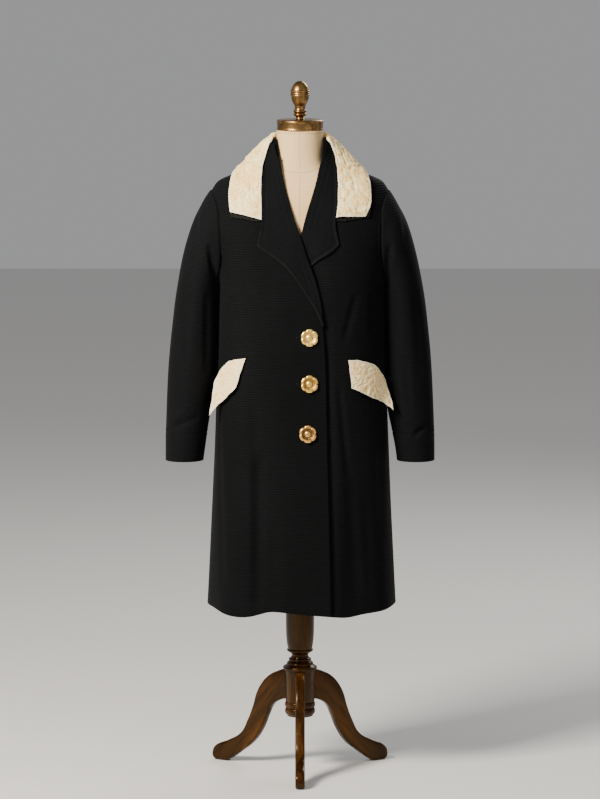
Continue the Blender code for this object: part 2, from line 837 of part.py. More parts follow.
def sleeve_line(side, facing, ring, shrink):
    outer_x, outer_z, inner_x, inner_z, half_depth, middle_y = ring
    outer = Vector((outer_x, middle_y, outer_z))
    follows = read_table(LEFT_SLEEVE_FOLLOWS, inner_z, 1)
    inner = Vector((inner_x + side_out(inner_z, side) * follows, middle_y, inner_z))
    middle = (outer + inner) / 2
    across = (outer - inner) / 2
    across = across * (1 - shrink / across.length)
    points = []
    for turn in half_turns(half_depth, facing):
        point = middle + across * math.cos(turn)
        point.y -= (half_depth - shrink) * math.sin(turn)
        points.append(Vector((side * point.x, point.y, point.z)))
    return points


def build_sleeve_half(name, side, facing):
    """The front half (facing 1) or back half (facing -1) of a sleeve, from the armhole to the cuff."""
    outer = [armhole_line(side, facing, 0.0, GAP)]
    inner = [armhole_line(side, facing, WALL, GAP)]
    for ring in SLEEVE_RINGS:
        outer.append(sleeve_line(side, facing, ring, 0.0))
        inner.append(sleeve_line(side, facing, ring, WALL))
    closed_wall(name, outer, inner, "black_wool")


def build_flap(name, side, stations):
    """A pocket flap: sewn along its upper edge, standing off the coat towards its rear tip."""
    grid = []
    for row in range(FLAP_ROWS + 1):
        down = row / FLAP_ROWS
        line = []
        for index, (top_x, top_z, foot_x, foot_z) in enumerate(stations):
            along = index / (len(stations) - 1)
            x = top_x + (foot_x - top_x) * down
            z = top_z + (foot_z - top_z) * down
            held = min(x, FLAP_HELD_SHARE * body_radius(z, side * math.pi / 2))
            stand_off = FLAP_FRONT_STAND_OFF + (FLAP_TIP_STAND_OFF - FLAP_FRONT_STAND_OFF) * along
            point = body_point(z, angle_at_x(z, side * held), LAYER_GAP)
            point.x += side * (x - held)
            point.y -= stand_off * down ** FLAP_FLARE
            line.append(point)
        grid.append(line)
    raise_clear(grid, ("coat_front_right", "coat_front_left"))
    layer_of(name, grid, 0.0, FLAP_THICKNESS, "pale_flap")


def build_button(name, x, z):
    """A gilt flower with a rolled rim, a groove and a domed middle, flat on its back."""
    angle = angle_at_x(z, x)
    centre = body_point(z, angle, GAP)
    out = body_normal(z, angle)
    across = Vector((0, 0, 1)).cross(out).normalized()
    up = out.cross(across)
    vertices = [centre.copy()]
    for (share, height), petal in zip(BUTTON_PROFILE, BUTTON_PETAL_SHARES):
        for step in range(BUTTON_STEPS):
            turn = 2 * math.pi * step / BUTTON_STEPS
            notch = 1 - petal * BUTTON_PETAL_DEPTH * (0.5 - 0.5 * math.cos(BUTTON_PETALS * turn))
            radius = BUTTON_RADIUS * share * notch
            point = centre + across * radius * math.cos(turn) + up * radius * math.sin(turn) + out * height
            vertices.append(point)
    vertices.append(centre + out * BUTTON_DOME_HEIGHT)
    faces = []
    for step in range(BUTTON_STEPS):
        after = (step + 1) % BUTTON_STEPS
        faces.append([0, 1 + after, 1 + step])
        for ring in range(len(BUTTON_PROFILE) - 1):
            base = 1 + ring * BUTTON_STEPS
            face = [base + step, base + after, base + BUTTON_STEPS + after, base + BUTTON_STEPS + step]
            faces.append(face)
        base = 1 + (len(BUTTON_PROFILE) - 1) * BUTTON_STEPS
        faces.append([base + step, base + after, len(vertices) - 1])
    add_object(name, vertices, faces, "gilt")


def stacked_rings(name, rings, finish):
    """A closed body through rings of points from the bottom up."""
    sides = len(rings[0])
    vertices = [point for ring in rings for point in ring]
    faces = [list(range(sides))[::-1]]
    for ring in range(len(rings) - 1):
        for step in range(sides):
            after = (step + 1) % sides
            low = ring * sides
            faces.append([low + step, low + after, low + sides + after, low + sides + step])
    faces.append([(len(rings) - 1) * sides + step for step in range(sides)])
    add_object(name, vertices, faces, finish)


def build_form():
    """The linen-covered torso with its neck, kept just inside the coat where the coat rests on it."""
    rings = []
    for z, half_width, front, back in FORM_SECTIONS:
        ring = []
        for step in range(FORM_SIDES):
            angle = 2 * math.pi * step / FORM_SIDES
            radius = section_radius(half_width, front, back, FORM_SQUARENESS, angle)
            if z < STAND_TOP_Z:
                rise = body_radius(z + SLOPE_STEP, angle) - body_radius(z - SLOPE_STEP, angle)
                steep = rise / (2 * SLOPE_STEP)
                inside = (WALL + FORM_CLEARANCE) * math.sqrt(1 + steep * steep)
                radius = min(radius, body_radius(z, angle) - inside)
            ring.append(Vector((radius * math.sin(angle), -radius * math.cos(angle), z)))
        rings.append(ring)
    stacked_rings("dress_form", rings, "linen")


def build_turned(name, profile, finish):
    """A piece turned about the form's axis from a profile that runs from its top to its bottom."""
    vertices = [Vector((0, 0, profile[0][1])), Vector((0, 0, profile[-1][1]))]
    for radius, z in profile[1:-1]:
        for step in range(TURNED_SIDES):
            turn = 2 * math.pi * step / TURNED_SIDES
            vertices.append(Vector((radius * math.cos(turn), radius * math.sin(turn), z)))
    rings = len(profile) - 2
    faces = []
    for step in range(TURNED_SIDES):
        after = (step + 1) % TURNED_SIDES
        faces.append([0, 2 + step, 2 + after])
        for ring in range(rings - 1):
            base = 2 + ring * TURNED_SIDES
            faces.append([base + step, base + TURNED_SIDES + step, base + TURNED_SIDES + after, base + after])
        base = 2 + (rings - 1) * TURNED_SIDES
        faces.append([1, base + after, base + step])
    add_object(name, vertices, faces, finish, smooth_angle=50.0)


def smooth_line(points):
    """An open line of (reach, height) points with rounded points added between them."""
    places = [Vector(point) for point in points]
    line = []
    for index in range(len(places) - 1):
        before = places[max(index - 1, 0)]
        here = places[index]
        there = places[index + 1]
        after = places[min(index + 2, len(places) - 1)]
        for step in range(LEG_CURVE_STEPS):
            t = step / LEG_CURVE_STEPS
            bend = (2 * before - 5 * here + 4 * there - after) * t * t
            twist = (3 * here - before - 3 * there + after) * t ** 3
            line.append((2 * here + (there - before) * t + bend + twist) / 2)
    line.append(places[-1])
    return [(reach, max(height, 0.0)) for reach, height in line]


def build_leg(name, turn):
    """A curved leg sawn from a board, with eased edges and a flat foot, turned about the axis."""
    outline = smooth_line(LEG_UPPER_LINE) + smooth_line(LEG_LOWER_LINE)
    sides = (-LEG_THICKNESS / 2, LEG_THICKNESS / 2)
    vertices = [Vector((side, -reach, z)) for side in sides for reach, z in outline]
    count = len(outline)
    faces = [list(range(count)), list(range(2 * count - 1, count - 1, -1))]
    for step in range(count):
        after = (step + 1) % count
        faces.append([after, step, count + step, count + after])
    leg = add_object(name, vertices, faces, "dark_wood")
    built = bmesh.new()
    built.from_mesh(leg.data)
    bmesh.ops.dissolve_limit(built, angle_limit=math.radians(0.1), verts=built.verts, edges=built.edges)
    rims = []
    for edge in built.edges:
        along_side = abs(edge.verts[0].co.x - edge.verts[1].co.x) < LEG_BEVEL
        off_floor = max(vertex.co.z for vertex in edge.verts) > FOOT_FLAT_Z
        off_seat = min(-vertex.co.y for vertex in edge.verts) > LEG_SEAT_RADIUS
        if along_side and off_floor and off_seat:
            rims.append(edge)
    bmesh.ops.bevel(built, geom=rims, offset=LEG_BEVEL, segments=1, affect="EDGES", clamp_overlap=True)
    bmesh.ops.rotate(built, verts=built.verts, cent=(0, 0, 0), matrix=Matrix.Rotation(turn, 3, "Z"))
    bmesh.ops.triangulate(built, faces=built.faces)
    built.to_mesh(leg.data)
    built.free()


def centre_part():
    """Move the whole part so that its bounding box is centred on the origin."""
    bpy.context.view_layer.update()
    points = [made.matrix_world @ vertex.co for made in bpy.data.objects if made.type == "MESH"
              for vertex in made.data.vertices]
    for axis in (0, 1):
        values = [point[axis] for point in points]
        AXIS.location[axis] -= (max(values) + min(values)) / 2
    bpy.context.view_layer.update()


clear_scene()
AXIS = bpy.data.objects.new("form_axis", None)
bpy.context.collection.objects.link(AXIS)
build_body()
build_collar_stand()
for sleeve_name, sleeve_side in (("sleeve_right", -1), ("sleeve_left", 1)):
    build_sleeve_half(sleeve_name + "_front", sleeve_side, 1)
    build_sleeve_half(sleeve_name + "_back", sleeve_side, -1)
build_lapel("lapel_right", "coat_front_right", RIGHT_EDGE, RIGHT_LAPEL_EDGE, lambda z, x: 0.0)
build_lapel("lapel_left", "coat_front_left", LEFT_EDGE, LEFT_LAPEL_EDGE, left_front_inset)
build_collar()
build_flap("pocket_flap_right", -1, RIGHT_FLAP)
build_flap("pocket_flap_left", 1, LEFT_FLAP)
for button_name, button_x, button_z in BUTTON_PLACES:
    build_button(button_name, button_x, button_z)
build_form()
build_turned("neck_cap", CAP_PROFILE, "brass")
build_turned("finial", FINIAL_PROFILE, "brass")
build_turned("pedestal", PEDESTAL_PROFILE, "dark_wood")
for leg_name, leg_turn in zip(("leg_front", "leg_left", "leg_right"), range(LEG_COUNT)):
    build_leg(leg_name, leg_turn * 2 * math.pi / LEG_COUNT)
centre_part()
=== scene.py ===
import math

import bmesh
import bpy
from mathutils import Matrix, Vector, noise
from mathutils.kdtree import KDTree


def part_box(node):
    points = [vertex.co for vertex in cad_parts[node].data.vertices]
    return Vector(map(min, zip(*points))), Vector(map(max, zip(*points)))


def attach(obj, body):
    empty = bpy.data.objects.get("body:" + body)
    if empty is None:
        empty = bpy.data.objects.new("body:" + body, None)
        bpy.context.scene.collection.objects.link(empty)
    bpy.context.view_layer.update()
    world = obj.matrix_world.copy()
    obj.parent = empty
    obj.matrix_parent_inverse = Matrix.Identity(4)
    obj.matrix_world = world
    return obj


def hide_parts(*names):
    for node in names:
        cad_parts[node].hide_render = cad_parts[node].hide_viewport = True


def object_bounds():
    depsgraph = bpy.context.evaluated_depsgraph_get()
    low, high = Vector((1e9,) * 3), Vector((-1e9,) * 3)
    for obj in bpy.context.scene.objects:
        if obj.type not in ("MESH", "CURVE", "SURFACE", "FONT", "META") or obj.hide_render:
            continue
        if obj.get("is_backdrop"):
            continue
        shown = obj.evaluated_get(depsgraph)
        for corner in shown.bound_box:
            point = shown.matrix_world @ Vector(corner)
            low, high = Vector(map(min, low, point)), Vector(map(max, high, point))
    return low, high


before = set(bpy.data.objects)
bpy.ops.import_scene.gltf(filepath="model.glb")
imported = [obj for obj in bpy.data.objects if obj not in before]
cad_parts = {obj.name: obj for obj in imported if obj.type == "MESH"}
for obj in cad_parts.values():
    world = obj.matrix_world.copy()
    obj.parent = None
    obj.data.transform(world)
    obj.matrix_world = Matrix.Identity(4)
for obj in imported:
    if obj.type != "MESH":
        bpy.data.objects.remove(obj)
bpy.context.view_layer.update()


# The pedestal: a turned post of stained hardwood that carries the form. It was cut on a lathe
# from one blank, with beads and coves near its foot, then stained dark and polished.
AXIS_Y = (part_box("pedestal")[0].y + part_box("pedestal")[1].y) / 2
PEDESTAL_TOP_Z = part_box("pedestal")[1].z
LATHE_SIDES = 72
# radius, height, and whether the cut has a sharp corner there
PEDESTAL_PROFILE = (
    (0.0900, PEDESTAL_TOP_Z, True),
    (0.0900, 0.6885, True),
    (0.0400, 0.6820, True),
    (0.0335, 0.6600, False),
    (0.0328, 0.5000, False),
    (0.0330, 0.4000, False),
    (0.0328, 0.3300, False),
    (0.0310, 0.3000, False),
    (0.0282, 0.2840, True),
    (0.0300, 0.2825, False),
    (0.0302, 0.2800, False),
    (0.0285, 0.2775, True),
    (0.0240, 0.2755, True),
    (0.0200, 0.2712, False),
    (0.0193, 0.2680, False),
    (0.0212, 0.2632, True),
    (0.0245, 0.2620, False),
    (0.0262, 0.2590, False),
    (0.0250, 0.2562, True),
    (0.0285, 0.2530, False),
    (0.0310, 0.2500, False),
    (0.0305, 0.2475, True),
    (0.0345, 0.2440, True),
    (0.0388, 0.2425, False),
    (0.0396, 0.2385, False),
    (0.0385, 0.2345, True),
    (0.0345, 0.2325, True),
    (0.0340, 0.2250, True),
    (0.0340, 0.1620, True),
    (0.0326, 0.1595, True),
    (0.0345, 0.1575, False),
    (0.0352, 0.1525, False),
    (0.0342, 0.1475, False),
    (0.0320, 0.1450, True),
    (0.0342, 0.1430, False),
    (0.0352, 0.1375, False),
    (0.0340, 0.1325, False),
    (0.0315, 0.1300, True),
    (0.0300, 0.1262, True),
)


def pick(piece):
    """Make one piece the only selected and active one."""
    bpy.ops.object.select_all(action="DESELECT")
    piece.select_set(True)
    bpy.context.view_layer.objects.active = piece


def clean_and_shade(merge, corner):
    """Merge doubled points, face all faces outwards, and shade smooth up to a corner in degrees."""
    bpy.ops.object.mode_set(mode="EDIT")
    bpy.ops.mesh.select_all(action="SELECT")
    bpy.ops.mesh.remove_doubles(threshold=merge)
    bpy.ops.mesh.normals_make_consistent(inside=False)
    bpy.ops.object.mode_set(mode="OBJECT")
    bpy.ops.object.shade_smooth_by_angle(angle=math.radians(corner))


def eased_profile(profile, steps=4):
    """The lathe's cut with rounded stretches between its sharp corners."""
    line = []
    for index in range(len(profile) - 1):
        here = Vector(profile[index][:2])
        there = Vector(profile[index + 1][:2])
        before = here if profile[index][2] else Vector(profile[index - 1][:2])
        after = there if profile[index + 1][2] else Vector(profile[index + 2][:2])
        if profile[index][2] and profile[index + 1][2]:
            line.append(here)
            continue
        for step in range(steps):
            t = step / steps
            bend = (2 * before - 5 * here + 4 * there - after) * t * t
            twist = (3 * here - before - 3 * there + after) * t ** 3
            line.append((2 * here + (there - before) * t + bend + twist) / 2)
    line.append(Vector(profile[-1][:2]))
    return line


def turn_on_lathe(name, profile):
    """A turned piece on the form's axis: a ring extruded down the profile and closed at both ends."""
    line = eased_profile(profile)
    bpy.ops.object.select_all(action="DESELECT")
    bpy.ops.mesh.primitive_circle_add(vertices=LATHE_SIDES, radius=line[0].x, fill_type="NGON",
                                      location=(0, AXIS_Y, line[0].y))
    piece = bpy.context.object
    piece.name = name
    bpy.ops.object.transform_apply(location=True)
    bpy.ops.object.mode_set(mode="EDIT")
    bpy.ops.mesh.select_all(action="SELECT")
    for above, below in zip(line, line[1:]):
        drop = (0, 0, below.y - above.y)
        bpy.ops.mesh.extrude_region_move(TRANSFORM_OT_translate={"value": drop})
        share = below.x / above.x
        bpy.ops.transform.resize(value=(share, share, 1), center_override=(0, AXIS_Y, below.y))
    clean_and_shade(merge=0.00002, corner=38)
    return piece


def tune(node, settings):
    """Set a node's inputs. Another node's output is linked in, and a tuple is a linear colour."""
    for name, value in settings.items():
        if isinstance(value, bpy.types.NodeSocket):
            node.id_data.links.new(value, node.inputs[name])
        elif isinstance(value, tuple):
            node.inputs[name].default_value = (*value, 1.0)
        else:
            node.inputs[name].default_value = value


def new_material(name, roughness, metallic=0.0):
    """A plain finish, with its node tree and its shader."""
    material = bpy.data.materials.new(name)
    material.use_nodes = True
    tree = material.node_tree
    shader = tree.nodes["Principled BSDF"]
    tune(shader, {"Roughness": roughness, "Metallic": metallic})
    return material, tree, shader


def placed(tree, turn=(0, 0, 0), scale=(1, 1, 1)):
    """Object coordinates for a pattern that is turned with its piece, then drawn finer by scale."""
    coordinates = tree.nodes.new("ShaderNodeTexCoord")
    mapping = tree.nodes.new("ShaderNodeMapping")
    mapping.vector_type = "TEXTURE"
    tune(mapping, {"Vector": coordinates.outputs["Object"], "Scale": [1 / share for share in scale],
                   "Rotation": [math.radians(angle) for angle in turn]})
    return mapping.outputs["Vector"]


def mottle(tree, where, scale, detail=3.0, distortion=0.0):
    """Soft irregular patches."""
    texture = tree.nodes.new("ShaderNodeTexNoise")
    tune(texture, {"Vector": where, "Scale": scale, "Detail": detail, "Distortion": distortion})
    return texture.outputs["Fac"]


def blend_of(tree, factor, colours):
    """A colour ramp: rows of place and linear colour."""
    ramp = tree.nodes.new("ShaderNodeValToRGB")
    while len(ramp.color_ramp.elements) < len(colours):
        ramp.color_ramp.elements.new(0.5)
    for element, (place, colour) in zip(ramp.color_ramp.elements, colours):
        element.position = place
        element.color = (*colour, 1.0)
    tune(ramp, {"Fac": factor})
    return ramp.outputs["Color"]


def mixed(tree, kind, factor, first, second):
    """Two colours mixed by a factor, which is a number or a socket."""
    mix = tree.nodes.new("ShaderNodeMix")
    mix.data_type = "RGBA"
    mix.blend_type = kind
    tune(mix, {0: factor, 6: first, 7: second})
    return mix.outputs[2]


def raised(tree, *layers):
    """Bumps in a chain: rows of height socket, strength and depth in metres."""
    under = None
    for height, strength, depth in layers:
        bump = tree.nodes.new("ShaderNodeBump")
        tune(bump, {"Height": height, "Strength": strength, "Distance": depth})
        if under is not None:
            tune(bump, {"Normal": under})
        under = bump.outputs["Normal"]
    return under


def between(tree, factor, low, high):
    """A factor of 0 to 1 brought into another range."""
    remap = tree.nodes.new("ShaderNodeMapRange")
    tune(remap, {"Value": factor, "To Min": low, "To Max": high})
    return remap.outputs["Result"]


def stained_wood(name, turn):
    """Dark polished hardwood with its grain along the local Z of the turned coordinates."""
    material, tree, shader = new_material(name, 0.28)
    figure = mottle(tree, placed(tree, turn, (26, 26, 2.6)), 1.0, 5.0, 0.8)
    pores = mottle(tree, placed(tree, turn, (620, 620, 22)), 1.0, 2.0)
    wash = blend_of(tree, figure, ((0.34, (0.005, 0.0017, 0.0003)), (0.50, (0.028, 0.0100, 0.0016)),
                                   (0.66, (0.080, 0.0300, 0.0050))))
    grain = blend_of(tree, pores, ((0.38, (0.28, 0.25, 0.22)), (0.55, (1.0, 1.0, 1.0))))
    tune(shader, {
        "Base Color": mixed(tree, "MULTIPLY", 0.85, wash, grain),
        "Roughness": between(tree, figure, 0.16, 0.30),
        "Specular IOR Level": 0.28,
        "Specular Tint": (1.0, 0.70, 0.42),
        "Normal": raised(tree, (pores, 0.25, 0.0003), (figure, 0.10, 0.0010)),
    })
    return material


def finish_as(piece, material, slot, *nodes):
    """Give a finished piece its material and body, and hide the nodes that it stands for. The argument
    slot is not used.
    """
    piece.data.materials.clear()
    piece.data.materials.append(material)
    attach(piece, "root")
    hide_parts(*nodes)


pedestal = turn_on_lathe("turned_pedestal", PEDESTAL_PROFILE)
finish_as(pedestal, stained_wood("post_wood", (0, 0, 0)), "dark_wood", "pedestal")


# The three legs: S-curved boards of the same wood, sawn to shape with their grain along the slope,
# rounded over along both edges and let into the post's drum with dovetails that don't show.
LEG_THICKNESS = 0.022
LEG_ROUND = 0.0048
LEG_GRAIN_SLOPE = -38
# distance from the axis, height, and whether the outline has a corner there
LEG_OUTLINE = (
    (0.0270, 0.2345, True),
    (0.0375, 0.2335, False),
    (0.0560, 0.2270, False),
    (0.0774, 0.2160, False),
    (0.0978, 0.1960, False),
    (0.1135, 0.1680, False),
    (0.1220, 0.1400, False),
    (0.1360, 0.1056, False),
    (0.1560, 0.0705, False),
    (0.1907, 0.0495, False),
    (0.2265, 0.0315, False),
    (0.2332, 0.0165, False),
    (0.2310, 0.0050, False),
    (0.2240, 0.0000, True),
    (0.1940, 0.0000, True),
    (0.1780, 0.0095, False),
    (0.1560, 0.0255, False),
    (0.1220, 0.0530, False),
    (0.0978, 0.0880, False),
    (0.0845, 0.1190, False),
    (0.0706, 0.1450, False),
    (0.0500, 0.1586, False),
    (0.0270, 0.1650, True),
)


def saw_leg(name, degrees):
    """A board cut to the leg's outline, rounded over, stood up and turned about the post."""
    bpy.ops.object.select_all(action="DESELECT")
    bpy.ops.curve.primitive_bezier_curve_add()
    leg = bpy.context.object
    leg.name = name
    curve = leg.data
    curve.splines.clear()
    spline = curve.splines.new("BEZIER")
    spline.bezier_points.add(len(LEG_OUTLINE) - 1)
    for point, (reach, height, corner) in zip(spline.bezier_points, LEG_OUTLINE):
        point.co = (reach, height, 0)
        kind = "VECTOR" if corner else "AUTO"
        point.handle_left_type = kind
        point.handle_right_type = kind
    spline.use_cyclic_u = True
    spline.resolution_u = 6
    curve.dimensions = "2D"
    curve.fill_mode = "BOTH"
    curve.extrude = LEG_THICKNESS / 2 - LEG_ROUND
    curve.bevel_depth = LEG_ROUND
    curve.bevel_resolution = 3
    curve.offset = -LEG_ROUND
    bpy.ops.object.convert(target="MESH")
    leg = bpy.context.object
    leg.rotation_euler = (math.radians(90), 0, math.radians(degrees - 90))
    leg.location = (0, AXIS_Y, 0)
    bpy.ops.object.transform_apply(location=True, rotation=True)
    clean_and_shade(merge=0.00005, corner=40)
    leg.data.name = name
    return leg


for leg_node, leg_degrees in (("leg_front", 0), ("leg_left", 120), ("leg_right", 240)):
    leg = saw_leg("sawn_" + leg_node, leg_degrees)
    wood = stained_wood(leg_node + "_wood", (LEG_GRAIN_SLOPE, 0, leg_degrees))
    finish_as(leg, wood, "dark_wood", leg_node)


# The dress form: a hollow moulded torso with no arms or legs, padded and covered in cream linen.
# Its cover is sewn in panels: one seam down the front, three down the back and one round the neck.
FORM_LEVELS = 3
FORM_RIM_HELD = 0.8
BACK_SEAM_X = 0.075
NECK_HALF_WIDTH = 0.055
NECK_SEAM_SIDE_Z = 1.405
NECK_SEAM_FRONT_Z = 1.392
NECK_TURNING_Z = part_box("dress_form")[1].z - 0.0035
TURNING_HALF_WIDTH = 0.0016
TURNING_DEPTH = 0.0008
# painted shade along the linen's seams: how dark per metre of the valley's depth, and at most
SEAM_SHADE_PER_DEPTH = 1100
SEAM_DARKEST = 0.75
# half width and depth of the sewn valley, then of the wider swell on both sides of it
FRONT_SEAM = (0.0022, 0.0006, 0.0060, 0.0002)
NECK_SEAM = (0.0022, 0.0008, 0.0070, 0.0003)


def open_copy(node, name):
    """A copy of a node's mesh as a new piece, with its loose triangles merged into quads."""
    piece = bpy.data.objects.new(name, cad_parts[node].data.copy())
    bpy.context.scene.collection.objects.link(piece)
    pick(piece)
    bpy.ops.mesh.customdata_custom_splitnormals_clear()
    built = bmesh.new()
    built.from_mesh(piece.data)
    bmesh.ops.remove_doubles(built, verts=built.verts, dist=0.00002)
    bmesh.ops.join_triangles(built, faces=built.faces, angle_face_threshold=math.radians(40),
                             angle_shape_threshold=math.radians(75))
    return piece, built


def put_back(piece, built):
    """Close the edited mesh and give it to its piece."""
    built.to_mesh(piece.data)
    built.free()
    piece.data.update()


def apply_modifier(piece, kind, **settings):
    """Add a modifier, set it and apply it."""
    pick(piece)
    modifier = piece.modifiers.new(kind.lower(), kind)
    for name, value in settings.items():
        setattr(modifier, name, value)
    bpy.ops.object.modifier_apply(modifier=modifier.name)


def groove(distance, half_width):
    """A soft trough across a line: 1 on the line, 0 from half_width on."""
    if abs(distance) >= half_width:
        return 0.0
    return 0.5 + 0.5 * math.cos(math.pi * distance / half_width)


def move_out(piece, height):
    """Move each point along its normal by what height(point, normal) gives."""
    normals = [vertex.normal.copy() for vertex in piece.data.vertices]
    for vertex, normal in zip(piece.data.vertices, normals):
        vertex.co += normal * height(vertex.co, normal)
    piece.data.update()


def note_points(piece, name, value_at):
    """Keep a number at each point of a piece, which its finish reads by name."""
    notes = piece.data.attributes.new(name, "FLOAT", "POINT")
    for vertex in piece.data.vertices:
        notes.data[vertex.index].value = value_at(vertex.co)


def sewn_line(off, seam):
    """How deep a seam sinks the cloth at a distance off: a fine valley with its edges raised."""
    half_width, depth, swell_half_width, swell = seam
    return groove(off, half_width) * depth - groove(off, swell_half_width) * swell


def form_seams(point, normal):
    """How far the linen cover's seams and its turned top edge move a point out."""
    across = abs(point.x)
    if point.y > AXIS_Y:
        across = min(across, abs(across - BACK_SEAM_X))
    to_side = min(1.0, (point.x / NECK_HALF_WIDTH) ** 2)
    neck_z = NECK_SEAM_FRONT_Z + (NECK_SEAM_SIDE_Z - NECK_SEAM_FRONT_Z) * to_side
    turning = groove(point.z - NECK_TURNING_Z, TURNING_HALF_WIDTH) * TURNING_DEPTH
    return -(sewn_line(across, FRONT_SEAM) + sewn_line(point.z - neck_z, NECK_SEAM) + turning)


def seam_shade(point):
    """How much painted shade the linen gets along its seams, in step with how deep their sewn valleys
    sink.
    """
    return min(SEAM_DARKEST, max(0.0, -form_seams(point, None)) * SEAM_SHADE_PER_DEPTH)


def kept_on(tree, name):
    """A number that the piece keeps at its points, read by name."""
    kept = tree.nodes.new("ShaderNodeAttribute")
    kept.attribute_name = name
    return kept.outputs["Fac"]


def woven_linen(name):
    """Cream linen: warp and weft threads, slubs, faint age toning and painted shade along the sewn
    lines.
    """
    material, tree, shader = new_material(name, 0.85)
    toning = mottle(tree, placed(tree, scale=(9, 9, 6)), 1.0, 4.0)
    threads = []
    for stretch in ((1500, 1500, 90), (90, 90, 1700)):
        threads.append(mottle(tree, placed(tree, scale=stretch), 1.0, 2.0))
    base = blend_of(tree, toning, ((0.30, (0.690, 0.455, 0.215)), (0.70, (0.800, 0.565, 0.295))))
    # The sewn lines are painted darker: painted shade in the seams' valleys.
    base = mixed(tree, "MIX", kept_on(tree, "sewn"), base, (0.330, 0.215, 0.120))
    warp = blend_of(tree, threads[0], ((0.30, (0.86, 0.84, 0.80)), (0.60, (1.0, 1.0, 1.0))))
    weft = blend_of(tree, threads[1], ((0.30, (0.88, 0.86, 0.82)), (0.60, (1.0, 1.0, 1.0))))
    cloth = mixed(tree, "MULTIPLY", 0.8, base, warp)
    tune(shader, {
        "Base Color": mixed(tree, "MULTIPLY", 0.8, cloth, weft),
        "Sheen Weight": 0.15,
        "Normal": raised(tree, (threads[0], 0.35, 0.0004), (threads[1], 0.35, 0.0004)),
    })
    return material


form, form_mesh = open_copy("dress_form", "linen_form")
rim_crease = form_mesh.edges.layers.float.new("crease_edge")
for edge in form_mesh.edges:
    if len(edge.link_faces) == 2 and edge.calc_face_angle() > math.radians(50):
        edge[rim_crease] = FORM_RIM_HELD
put_back(form, form_mesh)
apply_modifier(form, "SUBSURF", levels=FORM_LEVELS, render_levels=FORM_LEVELS)
note_points(form, "sewn", seam_shade)
move_out(form, form_seams)
pick(form)
bpy.ops.object.shade_smooth_by_angle(angle=math.radians(50))
finish_as(form, woven_linen("form_linen"), "linen", "dress_form")


# The neck cap and the finial: spun and turned brass, screwed on the top of the neck. The old
# lacquer has gone brown in the grooves and stays bright where hands and polish reach.
CAP_LOW_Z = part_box("neck_cap")[0].z
CAP_PROFILE = (
    (0.0060, 1.5098, True),
    (0.0440, 1.5096, False),
    (0.0500, 1.5088, False),
    (0.0528, 1.5075, False),
    (0.0535, 1.5055, False),
    (0.0530, 1.5036, True),
    (0.0527, 1.5000, False),
    (0.0527, 1.4920, False),
    (0.0530, 1.4892, True),
    (0.0535, 1.4880, False),
    (0.0533, 1.4862, False),
    (0.0522, CAP_LOW_Z, True),
)
FINIAL_PROFILE = (
    (0.0008, 1.5970, True),
    (0.0060, 1.5961, False),
    (0.0115, 1.5926, False),
    (0.0165, 1.5866, False),
    (0.0196, 1.5800, False),
    (0.0204, 1.5768, True),
    (0.0220, 1.5760, False),
    (0.0224, 1.5744, False),
    (0.0218, 1.5729, True),
    (0.0198, 1.5722, True),
    (0.0198, 1.5712, True),
    (0.0210, 1.5708, False),
    (0.0218, 1.5690, False),
    (0.0214, 1.5672, True),
    (0.0208, 1.5667, True),
    (0.0220, 1.5660, False),
    (0.0224, 1.5645, False),
    (0.0218, 1.5632, True),
    (0.0204, 1.5624, True),
    (0.0202, 1.5580, False),
    (0.0180, 1.5510, False),
    (0.0150, 1.5446, False),
    (0.0129, 1.5408, True),
    (0.0120, 1.5372, False),
    (0.0121, 1.5335, False),
    (0.0132, 1.5312, True),
    (0.0145, 1.5300, False),
    (0.0150, 1.5277, False),
    (0.0142, 1.5255, False),
    (0.0126, 1.5243, True),
    (0.0140, 1.5230, False),
    (0.0148, 1.5205, False),
    (0.0138, 1.5178, False),
    (0.0112, 1.5166, True),
    (0.0092, 1.5150, False),
    (0.0090, 1.5120, False),
    (0.0104, 1.5104, True),
)


def aged_metal(name, bright, dull, roughness, patch_size):
    """Old brass: bright metal clouded by brown lacquer in patches."""
    material, tree, shader = new_material(name, roughness, 1.0)
    clouds = mottle(tree, placed(tree), patch_size, 5.0, 0.6)
    rubbed = mottle(tree, placed(tree), patch_size * 9, 3.0)
    tune(shader, {
        "Base Color": blend_of(tree, clouds, ((0.34, dull), (0.60, bright))),
        "Roughness": between(tree, clouds, roughness + 0.14, roughness - 0.06),
        "Normal": raised(tree, (rubbed, 0.10, 0.0004)),
    })
    return material


brass = aged_metal("old_brass", bright=(0.400, 0.235, 0.085), dull=(0.130, 0.062, 0.018),
                   roughness=0.24, patch_size=55.0)
cap = turn_on_lathe("spun_neck_cap", CAP_PROFILE)
finish_as(cap, brass, "brass", "neck_cap")
finial = turn_on_lathe("turned_finial", FINIAL_PROFILE)
finish_as(finial, brass, "brass", "finial")


# The coat's body: a back and two fronts cut from black wool with a fine crosswise rib, sewn at
# the sides and shoulders. The fronts overlap, and soft folds fall from the hip to the hem.
CLOTH_LEVELS = 3
WOOL_THICKNESS = 0.0022
RIB_PITCH = 0.0055
BODY_MIDDLE = Vector((0, AXIS_Y, 1.15))
# a crease's run past its ends, as a share of its length, its taper, and its fading at the sides
CREASE_RUNOUT = 0.25
CREASE_TAPER = 0.7
CREASE_FACING = 2.5
ARMHOLE_FROM_X = 0.150
ARMHOLE_LOW_Z = 1.128
ARMHOLE_HIGH_Z = 1.352
SHOULDER_FROM_Z = 1.265
SHOULDER_FADE = 0.045
# the ridge's height, distance from the seam and half width, the valley's depth and half width, and
# over the shoulder, where the seam lies flat, the cloth's rise and its half width
PANEL_ARMHOLE = (0.0016, 0.0035, 0.0050, 0.0008, 0.0018, -0.0018, 0.030)


